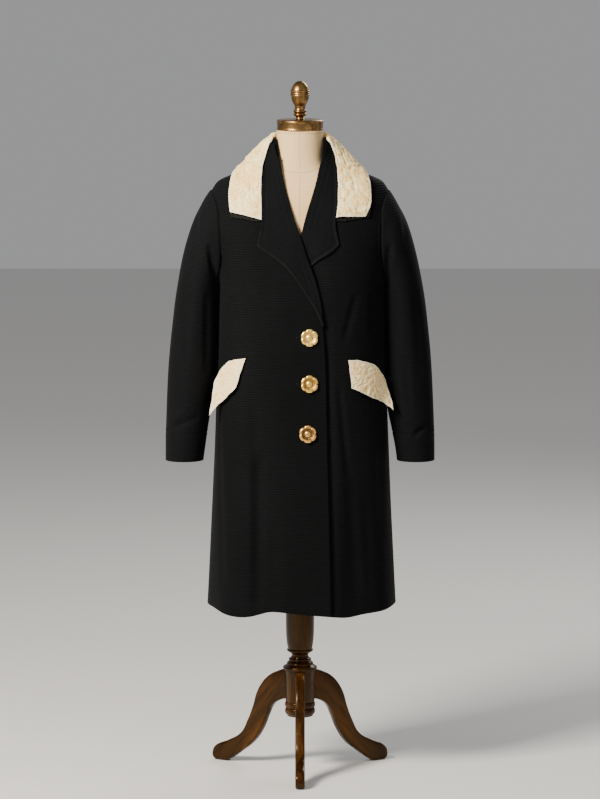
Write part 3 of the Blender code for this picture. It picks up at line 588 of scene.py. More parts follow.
def outer_cloth(node, name, middle, bend=62):
    """The outer side of a CAD wall as an open sheet in quads, found by spreading from the face that
    looks most away from middle, over all edges that turn by less than bend degrees."""
    piece, built = open_copy(node, name)
    built.normal_update()

    def outwardness(face):
        return face.calc_area() * face.normal.dot((face.calc_center_median() - middle).normalized())

    seed = max(built.faces, key=outwardness)
    kept = {seed}
    waiting = [seed]
    while waiting:
        face = waiting.pop()
        for edge in face.edges:
            for other in edge.link_faces:
                if other not in kept and face.normal.angle(other.normal) < math.radians(bend):
                    kept.add(other)
                    waiting.append(other)
    bmesh.ops.delete(built, geom=[face for face in built.faces if face not in kept], context="FACES")
    return piece, built


def border_turn(vertex):
    """How sharply the sheet's edge turns at a vertex, or 0 inside the sheet."""
    ends = [edge.other_vert(vertex).co - vertex.co for edge in vertex.link_edges if edge.is_boundary]
    if len(ends) != 2:
        return 0.0
    return math.pi - ends[0].angle(ends[1])


def keep_corners(built, sharper_than=28):
    """Hold the sheet's corners when it is smoothed."""
    crease = built.verts.layers.float.new("crease_vert")
    for vertex in built.verts:
        if border_turn(vertex) > math.radians(sharper_than):
            vertex[crease] = 1.0


def smooth_cloth(piece, built, levels=CLOTH_LEVELS):
    """Round the sheet over, with its corners held."""
    keep_corners(built)
    put_back(piece, built)
    apply_modifier(piece, "SUBSURF", levels=levels, render_levels=levels,
                   boundary_smooth="PRESERVE_CORNERS")


def give_thickness(piece, thickness, rim=0.0008):
    """A wall inwards from the sheet, with its rims rounded over."""
    apply_modifier(piece, "SOLIDIFY", thickness=thickness, offset=-1.0, use_rim=True)
    apply_modifier(piece, "BEVEL", width=rim, segments=2, limit_method="ANGLE",
                   angle_limit=math.radians(55))
    pick(piece)
    bpy.ops.object.shade_smooth_by_angle(angle=math.radians(60))


def crease_depth(creases, point, normal):
    """How deep the listed creases sink a point. A crease is a line seen from the front or back:
    side, x and z of its two ends, half width, and depth."""
    total = 0.0
    facing = 1 if normal.y < 0 else -1
    for side, x0, z0, x1, z1, half_width, depth in creases:
        if side != facing:
            continue
        way_x = x1 - x0
        way_z = z1 - z0
        along = ((point.x - x0) * way_x + (point.z - z0) * way_z) / (way_x ** 2 + way_z ** 2)
        if not -CREASE_RUNOUT < along < 1 + CREASE_RUNOUT:
            continue
        held = min(1.0, max(0.0, along))
        off = math.hypot(point.x - x0 - way_x * held, point.z - z0 - way_z * held)
        run = (along + CREASE_RUNOUT) / (1 + 2 * CREASE_RUNOUT)
        fade = math.sin(math.pi * min(1.0, max(0.0, run))) ** CREASE_TAPER
        total += depth * groove(off, half_width) * fade * min(1.0, abs(normal.y) * CREASE_FACING)
    return total


def uneven(point, size, depth):
    """The slight ripple that no hanging cloth is without."""
    return depth * noise.noise(Vector((point.x / size, point.y / size, point.z / size / 3)))


def border_tree(piece, counts):
    """Places along those parts of a sheet's edge that counts(point) picks."""
    built = bmesh.new()
    built.from_mesh(piece.data)
    places = [vertex.co.copy() for vertex in built.verts if vertex.is_boundary and counts(vertex.co)]
    built.free()
    tree = KDTree(len(places))
    for index, place in enumerate(places):
        tree.insert(place, index)
    tree.balance()
    return tree


def ribbed_wool(name, tilt, rib=1.0):
    """Black wool with a fine crosswise rib whose hollows are painted darker as painted shade, and a
    painted highlight along pressed edges. tilt turns the rib in degrees, seen from the front.
    """
    material, tree, shader = new_material(name, 0.82)
    ribs = tree.nodes.new("ShaderNodeTexWave")
    ribs.wave_type = "BANDS"
    ribs.bands_direction = "Z"
    tune(ribs, {"Vector": placed(tree, (0, tilt, 0)), "Scale": math.pi / 10 / RIB_PITCH,
                "Distortion": 0.5, "Detail": 2.0, "Detail Scale": 0.35})
    nap = mottle(tree, placed(tree), 750.0, 3.0)
    wear = mottle(tree, placed(tree, scale=(7, 7, 3)), 1.0, 3.0)
    slubs = mottle(tree, placed(tree, (0, tilt, 0), (60, 60, 420)), 1.0, 3.0)
    pile = blend_of(tree, wear, ((0.30, (0.0019, 0.0021, 0.0025)), (0.70, (0.0036, 0.0040, 0.0047))))
    # Painted shade: the rib's hollows darker and its crests lighter, along the same wave that raises its
    # bump.
    painted_rib_shade = blend_of(tree, ribs.outputs["Fac"], ((0.0, (1 - 0.38 * rib,) * 3), (1.0, (1.0, 1.0, 1.0))))
    flecks = blend_of(tree, slubs, ((0.30, (0.72, 0.72, 0.72)), (0.72, (1.25, 1.25, 1.25))))
    cloth = mixed(tree, "MULTIPLY", 0.8, mixed(tree, "MULTIPLY", 1.0, pile, painted_rib_shade), flecks)
    tune(shader, {
        # Near a lapel's pressed edge the wool is painted lighter: a painted highlight.
        "Base Color": mixed(tree, "MIX", kept_on(tree, "painted_edge_highlight"), cloth, (0.025, 0.026, 0.027)),
        "Roughness": between(tree, nap, 0.72, 0.95),
        "Sheen Weight": 0.018,
        "Sheen Roughness": 0.45,
        "Sheen Tint": (0.86, 0.93, 1.0),
        "Specular IOR Level": 0.075,
        "Normal": raised(tree, (ribs.outputs["Fac"], 0.70 * rib, 0.0008), (slubs, 0.40, 0.0006),
                         (nap, 0.45, 0.0004)),
    })
    return material


# side (1 front, -1 back), x and z of one end, x and z of the other, half width, depth
RIGHT_FRONT_CREASES = (
    (1, -0.188, 0.860, -0.176, 0.450, 0.012, 0.0022),
    (1, -0.110, 0.905, -0.098, 0.700, 0.022, 0.0028),
    (1, -0.180, 1.200, -0.150, 1.140, 0.016, 0.0030),
    (1, -0.060, 0.560, -0.050, 0.430, 0.026, 0.0022),
    (1, -0.094, 0.740, -0.096, 0.420, 0.023, 0.0085),
    (1, -0.150, 1.010, -0.128, 0.985, 0.014, 0.0016),
    (1, -0.030, 1.060, -0.060, 1.120, 0.030, -0.0018),
)
LEFT_FRONT_CREASES = (
    (1, 0.057, 1.060, 0.066, 0.780, 0.019, 0.0042),
    (1, 0.066, 0.780, 0.076, 0.400, 0.021, 0.0050),
    (1, 0.126, 1.112, 0.102, 1.022, 0.013, 0.0040),
    (1, 0.163, 1.118, 0.163, 1.030, 0.011, 0.0028),
    (1, 0.090, 0.905, 0.108, 0.720, 0.013, 0.0040),
    (1, 0.150, 0.640, 0.160, 0.440, 0.016, 0.0022),
    (1, 0.112, 0.720, 0.128, 0.430, 0.020, 0.0030),
    (1, 0.180, 0.880, 0.186, 0.560, 0.014, 0.0020),
)
BACK_CREASES = (
    (-1, 0.060, 1.060, 0.085, 0.900, 0.020, 0.0032),
    (-1, -0.068, 1.040, -0.088, 0.900, 0.018, 0.0028),
    (-1, 0.150, 1.160, 0.120, 1.080, 0.015, 0.0034),
    (-1, -0.152, 1.150, -0.118, 1.085, 0.016, 0.0034),
    (-1, 0.030, 0.760, 0.036, 0.450, 0.020, 0.0024),
    (-1, -0.110, 0.720, -0.125, 0.430, 0.022, 0.0028),
    (-1, 0.135, 0.640, 0.145, 0.430, 0.018, 0.0020),
)


def ease(value):
    """0 to 1 with a soft start and end."""
    value = min(1.0, max(0.0, value))
    return value * value * (3 - 2 * value)


def armhole_seam(point, armhole, seam):
    """How far the seam moves a point out: its turnings raise a ridge beside a fine sewn valley, and
    over the shoulder the panel is eased down and the sleeve up."""
    ridge, ridge_off, ridge_width, valley, valley_width, rise, rise_width = seam
    off = armhole.find(point)[2]
    top = ease((point.z - SHOULDER_FROM_Z) / SHOULDER_FADE)
    sewn = ridge * groove(off - ridge_off, ridge_width) - valley * groove(off, valley_width)
    return sewn * (1 - top) + rise * top * groove(off, rise_width)


def sew_panel(node, name, creases, material):
    """One panel of the body, with its creases, ripple and the raised armhole seam."""
    panel, built = outer_cloth(node, name, BODY_MIDDLE)
    smooth_cloth(panel, built)

    def by_armhole(place):
        return abs(place.x) > ARMHOLE_FROM_X and ARMHOLE_LOW_Z < place.z < ARMHOLE_HIGH_Z

    armhole = border_tree(panel, by_armhole)

    def shape(point, normal):
        out = uneven(point, size=0.055, depth=0.0009) - crease_depth(creases, point, normal)
        return out + armhole_seam(point, armhole, PANEL_ARMHOLE)

    move_out(panel, shape)
    give_thickness(panel, WOOL_THICKNESS)
    finish_as(panel, material, "black_wool", node)
    return panel


body_wool = ribbed_wool("body_wool", 0)
sew_panel("coat_back", "wool_back", BACK_CREASES, body_wool)
sew_panel("coat_front_left", "wool_front_left", LEFT_FRONT_CREASES, body_wool)
right_front = sew_panel("coat_front_right", "wool_front_right", RIGHT_FRONT_CREASES, body_wool)


# The sleeves: one-seam tubes of the same wool set into the armholes with a little ease at the
# head. A line of hand sewing holds the turned-up cuff, and the cloth has creased above it.
CUFF_SEWING_Z = 0.792
CUFF_SEWING = (0.0028, 0.0014, 0.0090, 0.0006)
SLEEVE_TILT = 8.0
SLEEVE_MIDDLE_X = 0.235
SLEEVE_MIDDLE_Z = 1.02
SLEEVE_FORWARD = 0.005
SLEEVE_RIB = 0.7
SLEEVE_HEAD_Z = 1.10
UPPER_ARM_Z = 0.96
SLEEVE_ARMHOLE = (0.0012, 0.0060, 0.0060, 0.0010, 0.0020, 0.0018, 0.050)
PRESSED_HALF_WIDTH = 0.034
SEAM_GAP = 0.0003
FOLD_STEPS = 4
# side: rows of height, and how far the sleeve's inner line is pressed towards the coat there
PRESSED_IN = {
    -1: ((0.865, 0.0), (0.915, 0.0038), (1.120, 0.0038), (1.160, 0.0)),
    1: ((0.745, -0.0025), (0.785, 0.0038), (0.820, 0.0064), (0.858, 0.0076), (0.900, 0.0050),
        (0.940, 0.0038), (1.120, 0.0038), (1.160, 0.0)),
}
RIGHT_SLEEVE_CREASES = (
    (1, -0.306, 0.803, -0.236, 0.831, 0.009, 0.0048),
    (1, -0.300, 0.822, -0.262, 0.846, 0.012, -0.0022),
    (1, -0.236, 1.330, -0.237, 1.235, 0.010, 0.0030),
    (1, -0.216, 1.330, -0.213, 1.290, 0.007, 0.0018),
    (1, -0.212, 1.110, -0.214, 0.940, 0.012, 0.0030),
    (1, -0.252, 1.150, -0.262, 0.960, 0.016, 0.0022),
    (1, -0.205, 1.225, -0.196, 1.165, 0.012, 0.0060),
    (1, -0.285, 0.980, -0.270, 0.900, 0.014, 0.0016),
    (-1, -0.230, 1.030, -0.280, 0.985, 0.013, 0.0044),
    (-1, -0.225, 0.985, -0.275, 0.960, 0.011, 0.0034),
    (-1, -0.240, 1.240, -0.250, 1.130, 0.015, 0.0030),
    (-1, -0.235, 0.850, -0.290, 0.820, 0.011, 0.0026),
)
LEFT_SLEEVE_CREASES = (
    (1, 0.290, 0.813, 0.262, 0.790, 0.010, 0.0046),
    (1, 0.300, 0.800, 0.268, 0.806, 0.008, 0.0026),
    (1, 0.218, 1.120, 0.222, 1.010, 0.010, 0.0042),
    (1, 0.236, 1.320, 0.240, 1.230, 0.011, 0.0024),
    (1, 0.262, 1.120, 0.276, 0.930, 0.016, 0.0024),
    (1, 0.205, 1.225, 0.196, 1.165, 0.012, 0.0060),
    (1, 0.240, 0.960, 0.250, 0.860, 0.014, 0.0024),
    (-1, 0.228, 1.040, 0.282, 0.990, 0.013, 0.0046),
    (-1, 0.222, 0.990, 0.272, 0.962, 0.011, 0.0032),
    (-1, 0.244, 1.250, 0.250, 1.140, 0.015, 0.0028),
    (-1, 0.240, 0.860, 0.288, 0.826, 0.012, 0.0026),
)


def turn_under(built, chosen, radius, turn, tail):
    """Carry the chosen border of a sheet round a fold and on. radius(place) is the fold's, turn is
    how far it goes in degrees, and tail is how far the cloth then runs on straight."""
    built.normal_update()
    picked = [edge for edge in built.edges if edge.is_boundary and all(chosen(v.co) for v in edge.verts)]
    starts = {}
    for vertex in {vertex for edge in picked for vertex in edge.verts}:
        inward = Vector()
        for edge in vertex.link_edges:
            if edge not in picked:
                inward += (edge.other_vert(vertex).co - vertex.co).normalized()
        away = -(inward - vertex.normal * inward.dot(vertex.normal)).normalized()
        starts[vertex] = (vertex.co.copy(), away, vertex.normal.copy(), radius(vertex.co))
    line = picked
    for step in range(1, FOLD_STEPS + 2):
        grown = bmesh.ops.extrude_edge_only(built, edges=line)["geom"]
        line = [item for item in grown if isinstance(item, bmesh.types.BMEdge)]
        fresh = [item for item in grown if isinstance(item, bmesh.types.BMVert)]
        moved = {}
        for vertex in fresh:
            nearest = min(starts, key=lambda old: (old.co - vertex.co).length_squared)
            moved[vertex] = starts[nearest]
        for vertex, (place, away, out, bend) in moved.items():
            angle = math.radians(turn) * min(step, FOLD_STEPS) / FOLD_STEPS
            vertex.co = place + away * bend * math.sin(angle) - out * bend * (1 - math.cos(angle))
            if step > FOLD_STEPS:
                vertex.co += (away * math.cos(angle) - out * math.sin(angle)) * tail
        starts = moved
        line = [edge for edge in line if all(vertex in moved for vertex in edge.verts)]


def read_rows(rows, at):
    """Read rows of place and value, straight between them."""
    for (low, first), (high, second) in zip(rows, rows[1:]):
        if at <= high:
            share = max(0.0, (at - low) / (high - low))
            return first + (second - first) * share
    return rows[-1][1]


def set_in_sleeve(node, name, side, creases):
    """One whole sleeve from its two halves, with its creases, cuff and turned-under head."""
    middle = Vector((side * SLEEVE_MIDDLE_X, AXIS_Y - SLEEVE_FORWARD, SLEEVE_MIDDLE_Z))
    sleeve, front_half = outer_cloth(node + "_front", name, middle, bend=40)
    other, back_half = outer_cloth(node + "_back", name + "_back", middle, bend=40)
    put_back(sleeve, front_half)
    put_back(other, back_half)
    pick(sleeve)
    other.select_set(True)
    bpy.ops.object.join()
    built = bmesh.new()
    built.from_mesh(sleeve.data)
    bmesh.ops.remove_doubles(built, verts=built.verts, dist=SEAM_GAP * 2)
    smooth_cloth(sleeve, built)

    def by_armhole(place):
        return place.z > SLEEVE_HEAD_Z

    armhole = border_tree(sleeve, by_armhole)
    inner_x = min(abs(v.co.x) for v in sleeve.data.vertices if UPPER_ARM_Z < v.co.z < SLEEVE_HEAD_Z)
    for vertex in sleeve.data.vertices:
        pressed = read_rows(PRESSED_IN[side], vertex.co.z)
        vertex.co.x -= side * pressed * groove(abs(vertex.co.x) - inner_x, PRESSED_HALF_WIDTH)
    sleeve.data.update()

    def shape(point, normal):
        out = uneven(point, size=0.050, depth=0.0011) - crease_depth(creases, point, normal)
        out += armhole_seam(point, armhole, SLEEVE_ARMHOLE)
        return out - sewn_line(point.z - CUFF_SEWING_Z, CUFF_SEWING)

    move_out(sleeve, shape)
    built = bmesh.new()
    built.from_mesh(sleeve.data)
    turn_under(built, by_armhole, radius=lambda place: 0.0013, turn=52, tail=0.016)
    put_back(sleeve, built)
    give_thickness(sleeve, WOOL_THICKNESS)
    cloth = ribbed_wool(name + "_cloth", -side * SLEEVE_TILT, SLEEVE_RIB)
    finish_as(sleeve, cloth, "black_wool", node + "_front", node + "_back")


set_in_sleeve("sleeve_right", "wool_sleeve_right", -1, RIGHT_SLEEVE_CREASES)
set_in_sleeve("sleeve_left", "wool_sleeve_left", 1, LEFT_SLEEVE_CREASES)


# The lapels: the tops of the fronts, faced and turned back along the roll line. Each is one
# piece of wool that rolls over the front's edge and ends inside, with a firm pressed outer edge.
ROLL_RADIUS = 0.0030
ROLL_TAIL = 0.012
ROLL_LEVEL = 0.012
ROLL_REACH = 0.004
ROLL_END = 0.001
LAPEL_THICKNESS = 0.0016
LAPEL_RIB = 0.35
LAPEL_OUTER_X = 0.02
LAPEL_LOW_Z = 1.19
LAPEL_NOTCH_Z = 1.262
# size of the patches in the painted highlight along the lapels' edges
EDGE_HIGHLIGHT_PATCH_SIZE = 0.012


def paint_edge_highlight(piece, counts, width, share):
    """Note how strong the painted highlight is along an edge, for the wool to show."""
    tree = border_tree(piece, counts)

    # The painted highlight's strength at a point: patchy, and strongest on the edge.
    def rubbed(point):
        highlight_patchiness = 0.7 + 0.6 * noise.noise(point / EDGE_HIGHLIGHT_PATCH_SIZE)
        return share * highlight_patchiness * groove(tree.find(point)[2], width)

    note_points(piece, "painted_edge_highlight", rubbed)


def pressed_edge(piece, counts, height, width):
    """Raise a rounded bead along a finished edge, with a valley behind it."""
    tree = border_tree(piece, counts)

    def shape(point, normal):
        off = tree.find(point)[2]
        bead = height * groove(off - width * 0.4, width * 0.9)
        return bead - height * 0.5 * groove(off - width * 1.9, width * 0.8)

    move_out(piece, shape)


def turn_back_lapel(node, name, side, tilt):
    """One lapel, rolled in at the front's edge, with its outer edge pressed and given a painted
    highlight.
    """
    lapel, built = outer_cloth(node, name, BODY_MIDDLE)
    low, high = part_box(node)
    edge_points = sorted((v for v in built.verts if v.is_boundary), key=lambda v: v.co.z)

    def is_roll(place):
        level = [v.co.x for v in edge_points if abs(v.co.z - place.z) < ROLL_LEVEL]
        inner = max(level) if side < 0 else min(level)
        return abs(place.x - inner) < ROLL_REACH and place.z < high.z - ROLL_END

    roll_places = [v.co.copy() for v in edge_points if is_roll(v.co)]
    turn_under(built, lambda place: any((place - known).length < 0.0001 for known in roll_places),
               radius=lambda place: ROLL_RADIUS, turn=180, tail=ROLL_TAIL)
    smooth_cloth(lapel, built)
    pressed_edge(lapel, lambda place: side * place.x > LAPEL_OUTER_X or place.z < LAPEL_LOW_Z,
                 height=0.0012, width=0.0045)
    # A painted highlight along the lapel's edges below the notch.
    paint_edge_highlight(lapel, lambda place: place.z < LAPEL_NOTCH_Z, width=0.0062, share=0.26)
    move_out(lapel, lambda point, normal: uneven(point, size=0.040, depth=0.0010))
    give_thickness(lapel, LAPEL_THICKNESS, rim=0.0006)
    finish_as(lapel, ribbed_wool(name + "_cloth", tilt, LAPEL_RIB), "black_wool", node)
    return lapel


lapel_right = turn_back_lapel("lapel_right", "wool_lapel_right", -1, -70)
lapel_left = turn_back_lapel("lapel_left", "wool_lapel_left", 1, 70)


# The collar stand and under collar: the black wool that holds the pale collar up round the neck.
# The stand is sewn into the neckline, and the under collar shows as a dark edge below the pale one.
COLLAR_MIDDLE = Vector((0, AXIS_Y, 1.30))
UNDER_LEVELS = 4
UNDER_THICKNESS = 0.0018
UNDER_EDGE_FRONT = 0.0042
UNDER_EDGE_BACK = 0.0022
UNDER_EDGE_HIGH_Z = 1.400
UNDER_EDGE_FALL = -0.08
CHEST_Z = 1.325
CURL_SIZE = 0.0035
CURL_DEPTH = 0.0016

stand, stand_mesh = outer_cloth("collar_stand", "wool_collar_stand", COLLAR_MIDDLE)
smooth_cloth(stand, stand_mesh)
give_thickness(stand, WOOL_THICKNESS, rim=0.0005)
finish_as(stand, body_wool, "black_wool", "collar_stand")

under, under_mesh = outer_cloth("under_collar", "wool_under_collar", COLLAR_MIDDLE)
under_mesh.normal_update()
# Its outer edge is let out a little past the pale collar's.
let_out = {}
for vertex in under_mesh.verts:
    outward = Vector()
    for edge in vertex.link_edges:
        if not edge.is_boundary:
            outward -= (edge.other_vert(vertex).co - vertex.co).normalized()
    from_neck = outward.dot(Vector((vertex.co.x, vertex.co.y - AXIS_Y, UNDER_EDGE_FALL)))
    if vertex.is_boundary and outward.length > 0 and from_neck > 0 and vertex.co.z < UNDER_EDGE_HIGH_Z:
        amount = UNDER_EDGE_FRONT if vertex.co.z < CHEST_Z else UNDER_EDGE_BACK
        let_out[vertex] = outward.normalized() * amount
for vertex, shift in let_out.items():
    vertex.co += shift
smooth_cloth(under, under_mesh, UNDER_LEVELS)
move_out(under, lambda point, normal: CURL_DEPTH * noise.noise(point / CURL_SIZE))
give_thickness(under, UNDER_THICKNESS, rim=0.0005)
under_wool, under_tree, under_shader = new_material("curled_wool", 0.70)
curls = mottle(under_tree, placed(under_tree), 210.0, 3.0, 1.5)
# The raised curls are painted lighter olive: partly the wool's own tint, partly painted highlight.
curl_tint_and_highlight = blend_of(under_tree, curls, ((0.40, (0.0010, 0.0010, 0.0009)),
                                         (0.70, (0.0100, 0.0095, 0.0062))))
tune(under_shader, {"Base Color": curl_tint_and_highlight, "Specular IOR Level": 0.12,
                    "Normal": raised(under_tree, (curls, 0.8, 0.0020))})
finish_as(under, under_wool, "black_wool", "under_collar")


# The top collar: a broad pale collar of pressed, close-curled plush that falls over the stand on
# the shoulders and ends square on the chest. Its relief is swirled, and its edges are turned.
COLLAR_THICKNESS = 0.0028
NECK_FOLD_Z = 1.4600
NECK_FOLD_FULL = 0.0050
NECK_FOLD_THIN = 0.0016
# degrees from the front where the fold over the stand begins, and over how many it fills out
NECK_FOLD_FROM = 76
NECK_FOLD_OVER = 20
EDGE_WIDTH = 0.0080
# width of the painted highlight along the plush's turned edges
PALE_RIM_WIDTH = 0.0048
WAVER_SIZE = 0.020
WAVER_WIDTH = 0.016
END_FROM_Z = 1.3300
END_LOW_Z = 1.2850
END_INNER_X = 0.085
END_OUTER_X = 0.155
PLUSH_SEED = 3
# side, lift of the inner corner, lift of the outer corner, and how far that one is rounded in
END_TRIMS = {-1: (0.0025, 0.0085, -0.0035), 1: (0.0075, -0.0030, 0.0080)}


def swirled(point, size, depth):
    """Low wandering ridges, as in close-curled plush."""
    bend = noise.noise_vector(point / (size * 2.6)) * size * 1.6
    folds = 0.45 - abs(noise.noise((point + bend) / size))
    fine = 0.45 - abs(noise.noise((point + bend * 0.5) / (size * 0.42)))
    return depth * (folds + 0.45 * fine)


def press_plush(piece, size, depth, waver):
    """Let the edges waver, note a painted highlight along them, then emboss the swirls, which die away
    at the turned edges.
    """
    edge = border_tree(piece, lambda place: True)
    for vertex in piece.data.vertices:
        shift = noise.noise_vector(vertex.co / WAVER_SIZE) * waver
        near = groove(edge.find(vertex.co)[2], WAVER_WIDTH)
        vertex.co += Vector((shift.x, 0, shift.z)) * near
    piece.data.update()
    edge = border_tree(piece, lambda place: True)
    note_points(piece, "painted_pale_rim", lambda place: groove(edge.find(place)[2], PALE_RIM_WIDTH))

    def relief(point, normal):
        return swirled(point, size, depth) * min(1.0, edge.find(point)[2] / EDGE_WIDTH)

    move_out(piece, relief)


def pale_plush(name, light, mid, dark):
    """Cream plush: swirled tan toning, a painted highlight that makes it paler and less orange at the
    turned edges, and a fine pile.
    """
    material, tree, shader = new_material(name, 0.80)
    clouds = mottle(tree, placed(tree), 34.0, 3.0, 1.2)
    swirls = mottle(tree, placed(tree), 90.0, 4.0, 2.6)
    spots = mottle(tree, placed(tree), 170.0, 3.0, 1.6)
    pile = mottle(tree, placed(tree), 1300.0, 2.0)
    base = blend_of(tree, clouds, ((0.42, mid), (0.54, light)))
    veins = blend_of(tree, swirls, ((0.32, dark), (0.46, (1.0, 1.0, 1.0))))
    marks = blend_of(tree, spots, ((0.28, (0.58, 0.47, 0.34)), (0.40, (1.0, 1.0, 1.0))))
    toned = mixed(tree, "MULTIPLY", 0.9, mixed(tree, "MULTIPLY", 0.9, base, veins), marks)
    tune(shader, {
        # At the turned edges the plush is painted paler: a painted highlight.
        "Base Color": mixed(tree, "MIX", kept_on(tree, "painted_pale_rim"), toned, (0.90, 0.79, 0.60)),
        "Sheen Weight": 0.12,
        "Sheen Roughness": 0.40,
        "Sheen Tint": (1.0, 0.88, 0.68),
        "Specular IOR Level": 0.22,
        "Normal": raised(tree, (swirls, 0.55, 0.0022), (spots, 0.55, 0.0012), (pile, 0.30, 0.0004)),
    })
    return material


def neck_fold(place):
    """The fold over the stand is full round the back and sides, and dies away at the lapels."""
    turned = math.degrees(abs(math.atan2(place.x, AXIS_Y - place.y)))
    share = min(1.0, max(0.0, (turned - NECK_FOLD_FROM) / NECK_FOLD_OVER))
    return NECK_FOLD_THIN + (NECK_FOLD_FULL - NECK_FOLD_THIN) * share


noise.seed_set(PLUSH_SEED)
collar, collar_mesh = outer_cloth("top_collar", "pale_top_collar", COLLAR_MIDDLE)
turn_under(collar_mesh, lambda place: place.z > NECK_FOLD_Z, neck_fold, turn=180, tail=0.010)
smooth_cloth(collar, collar_mesh)
pressed_edge(collar, lambda place: place.z < NECK_FOLD_Z, height=0.0007, width=0.0036)
# The square ends are cut a little short, so that the black under collar shows below them.
for vertex in collar.data.vertices:
    side = 1 if vertex.co.x > 0 else -1
    inner_lift, outer_lift, rounding = END_TRIMS[side]
    end = ease((END_FROM_Z - vertex.co.z) / (END_FROM_Z - END_LOW_Z))
    outer = ease((abs(vertex.co.x) - END_INNER_X) / (END_OUTER_X - END_INNER_X))
    vertex.co.z += end * (inner_lift + (outer_lift - inner_lift) * outer)
    vertex.co.x -= side * rounding * end * outer
collar.data.update()
press_plush(collar, size=0.0150, depth=0.0060, waver=0.0010)
give_thickness(collar, COLLAR_THICKNESS, rim=0.0009)
collar_plush = pale_plush("collar_plush", light=(1.00, 0.82, 0.43), mid=(0.95, 0.67, 0.27),
                          dark=(0.60, 0.47, 0.29))
finish_as(collar, collar_plush, "pale_collar", "top_collar")


# The pocket flaps: slanted pieces of the same pale plush sewn along their upper edge over the
# pockets. Their lower edges hang free and stand off the coat, most at the rear tip.
FLAP_LEVELS = 4
FLAP_THICKNESS = 0.0026
flap_plush = pale_plush("flap_plush", light=(1.00, 0.81, 0.44), mid=(1.00, 0.72, 0.34),
                        dark=(0.84, 0.67, 0.47))
for flap_node, flap_area in (("pocket_flap_right", 0.0082), ("pocket_flap_left", 0.0097)):
    flap, flap_mesh = outer_cloth(flap_node, "pale_" + flap_node, BODY_MIDDLE)
    smooth_cloth(flap, flap_mesh, FLAP_LEVELS)
    pressed_edge(flap, lambda place: True, height=0.0006, width=0.0034)
    press_plush(flap, size=0.0120, depth=0.0034, waver=0.0017)
    give_thickness(flap, FLAP_THICKNESS)
    finish_as(flap, flap_plush, "pale_flap", flap_node)


# The buttonholes: slits in the right front, bound with black silk twist. The top two show just
# beside their buttons, and the loops lie flat on the cloth.
BUTTONHOLE_LENGTH = 0.0260
BUTTONHOLE_RADIUS = 0.0017
TWIST_RADIUS = 0.0009
TWIST_SUNK = 0.3
SLIT_END_X = -0.0062

silk_twist, silk_tree, silk_shader = new_material("silk_twist", 0.45)
stitches = mottle(silk_tree, placed(silk_tree, scale=(1600, 200, 200)), 1.0, 1.0)
silk_tone = blend_of(silk_tree, stitches, ((0.35, (0.0010, 0.0010, 0.0010)),
                                           (0.65, (0.0070, 0.0070, 0.0060))))
tune(silk_shader, {"Base Color": silk_tone, "Specular IOR Level": 0.15,
                   "Normal": raised(silk_tree, (stitches, 0.5, 0.0005))})
for button_node in ("button_top", "button_middle"):
    low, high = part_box(button_node)
    bpy.ops.object.select_all(action="DESELECT")
    bpy.ops.mesh.primitive_torus_add(major_segments=32, minor_segments=8, rotation=(math.pi / 2, 0, 0),
                                     major_radius=BUTTONHOLE_RADIUS, minor_radius=TWIST_RADIUS)
    loop = bpy.context.object
    loop.name = "bound_" + button_node[7:] + "_buttonhole"
    bpy.ops.object.transform_apply(rotation=True)
    for vertex in loop.data.vertices:
        if vertex.co.x > 0.00001:
            vertex.co.x += BUTTONHOLE_LENGTH
    spot = Vector((SLIT_END_X, low.y - 0.1, (low.z + high.z) / 2))
    lie = []
    for along in (0, BUTTONHOLE_LENGTH):
        found = right_front.ray_cast(spot + Vector((along, 0, 0)), Vector((0, 1, 0)))
        lie.append(found[1].y)
    for vertex in loop.data.vertices:
        share = vertex.co.x / BUTTONHOLE_LENGTH
        vertex.co.y += lie[0] + (lie[1] - lie[0]) * share - TWIST_RADIUS * TWIST_SUNK
        vertex.co.x += SLIT_END_X
        vertex.co.z += spot.z
    pick(loop)
    bpy.ops.object.shade_smooth()
    loop.data.materials.append(silk_twist)
    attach(loop, "root")


# The buttons: stamped gilt flowers of six petals round a domed eye, sewn on by a shank behind.
# The recesses keep a brown patina and the petal notches painted shade; the gilt and its patina are
# darker from the top button down, the lowest a redder gold.
BUTTON_RADIUS = 0.0200
BUTTON_SIDES = 96
BUTTON_BACK = 0.0020
BUTTON_GAP = 0.0004
PETAL_FROM = 0.56
PETAL_OVER = 0.30
PETAL_NOTCH = 0.085
PETAL_VALLEY = 0.0016
PETAL_NOTCH_PATINA_AND_SHADE = 0.55
SCALLOP_FROM = 0.44
SCALLOP_LIFT = 0.0007
SCALLOP_STAIN = 0.65
# share of the radius, height of the face, and how much of the patina stays there
BUTTON_FACE = (
    (0.985, 0.0030, 0.0),
    (0.940, 0.0041, 0.0),
    (0.860, 0.0049, 0.0),
    (0.770, 0.0049, 0.2),
    (0.680, 0.0043, 0.8),
    (0.590, 0.0034, 1.0),
    (0.520, 0.0027, 1.0),
    (0.440, 0.0024, 1.0),
    (0.350, 0.0026, 0.8),
    (0.305, 0.0036, 0.3),
    (0.260, 0.0044, 0.0),
    (0.190, 0.0049, 0.1),
    (0.130, 0.0050, 0.4),
    (0.065, 0.0054, 0.0),
)


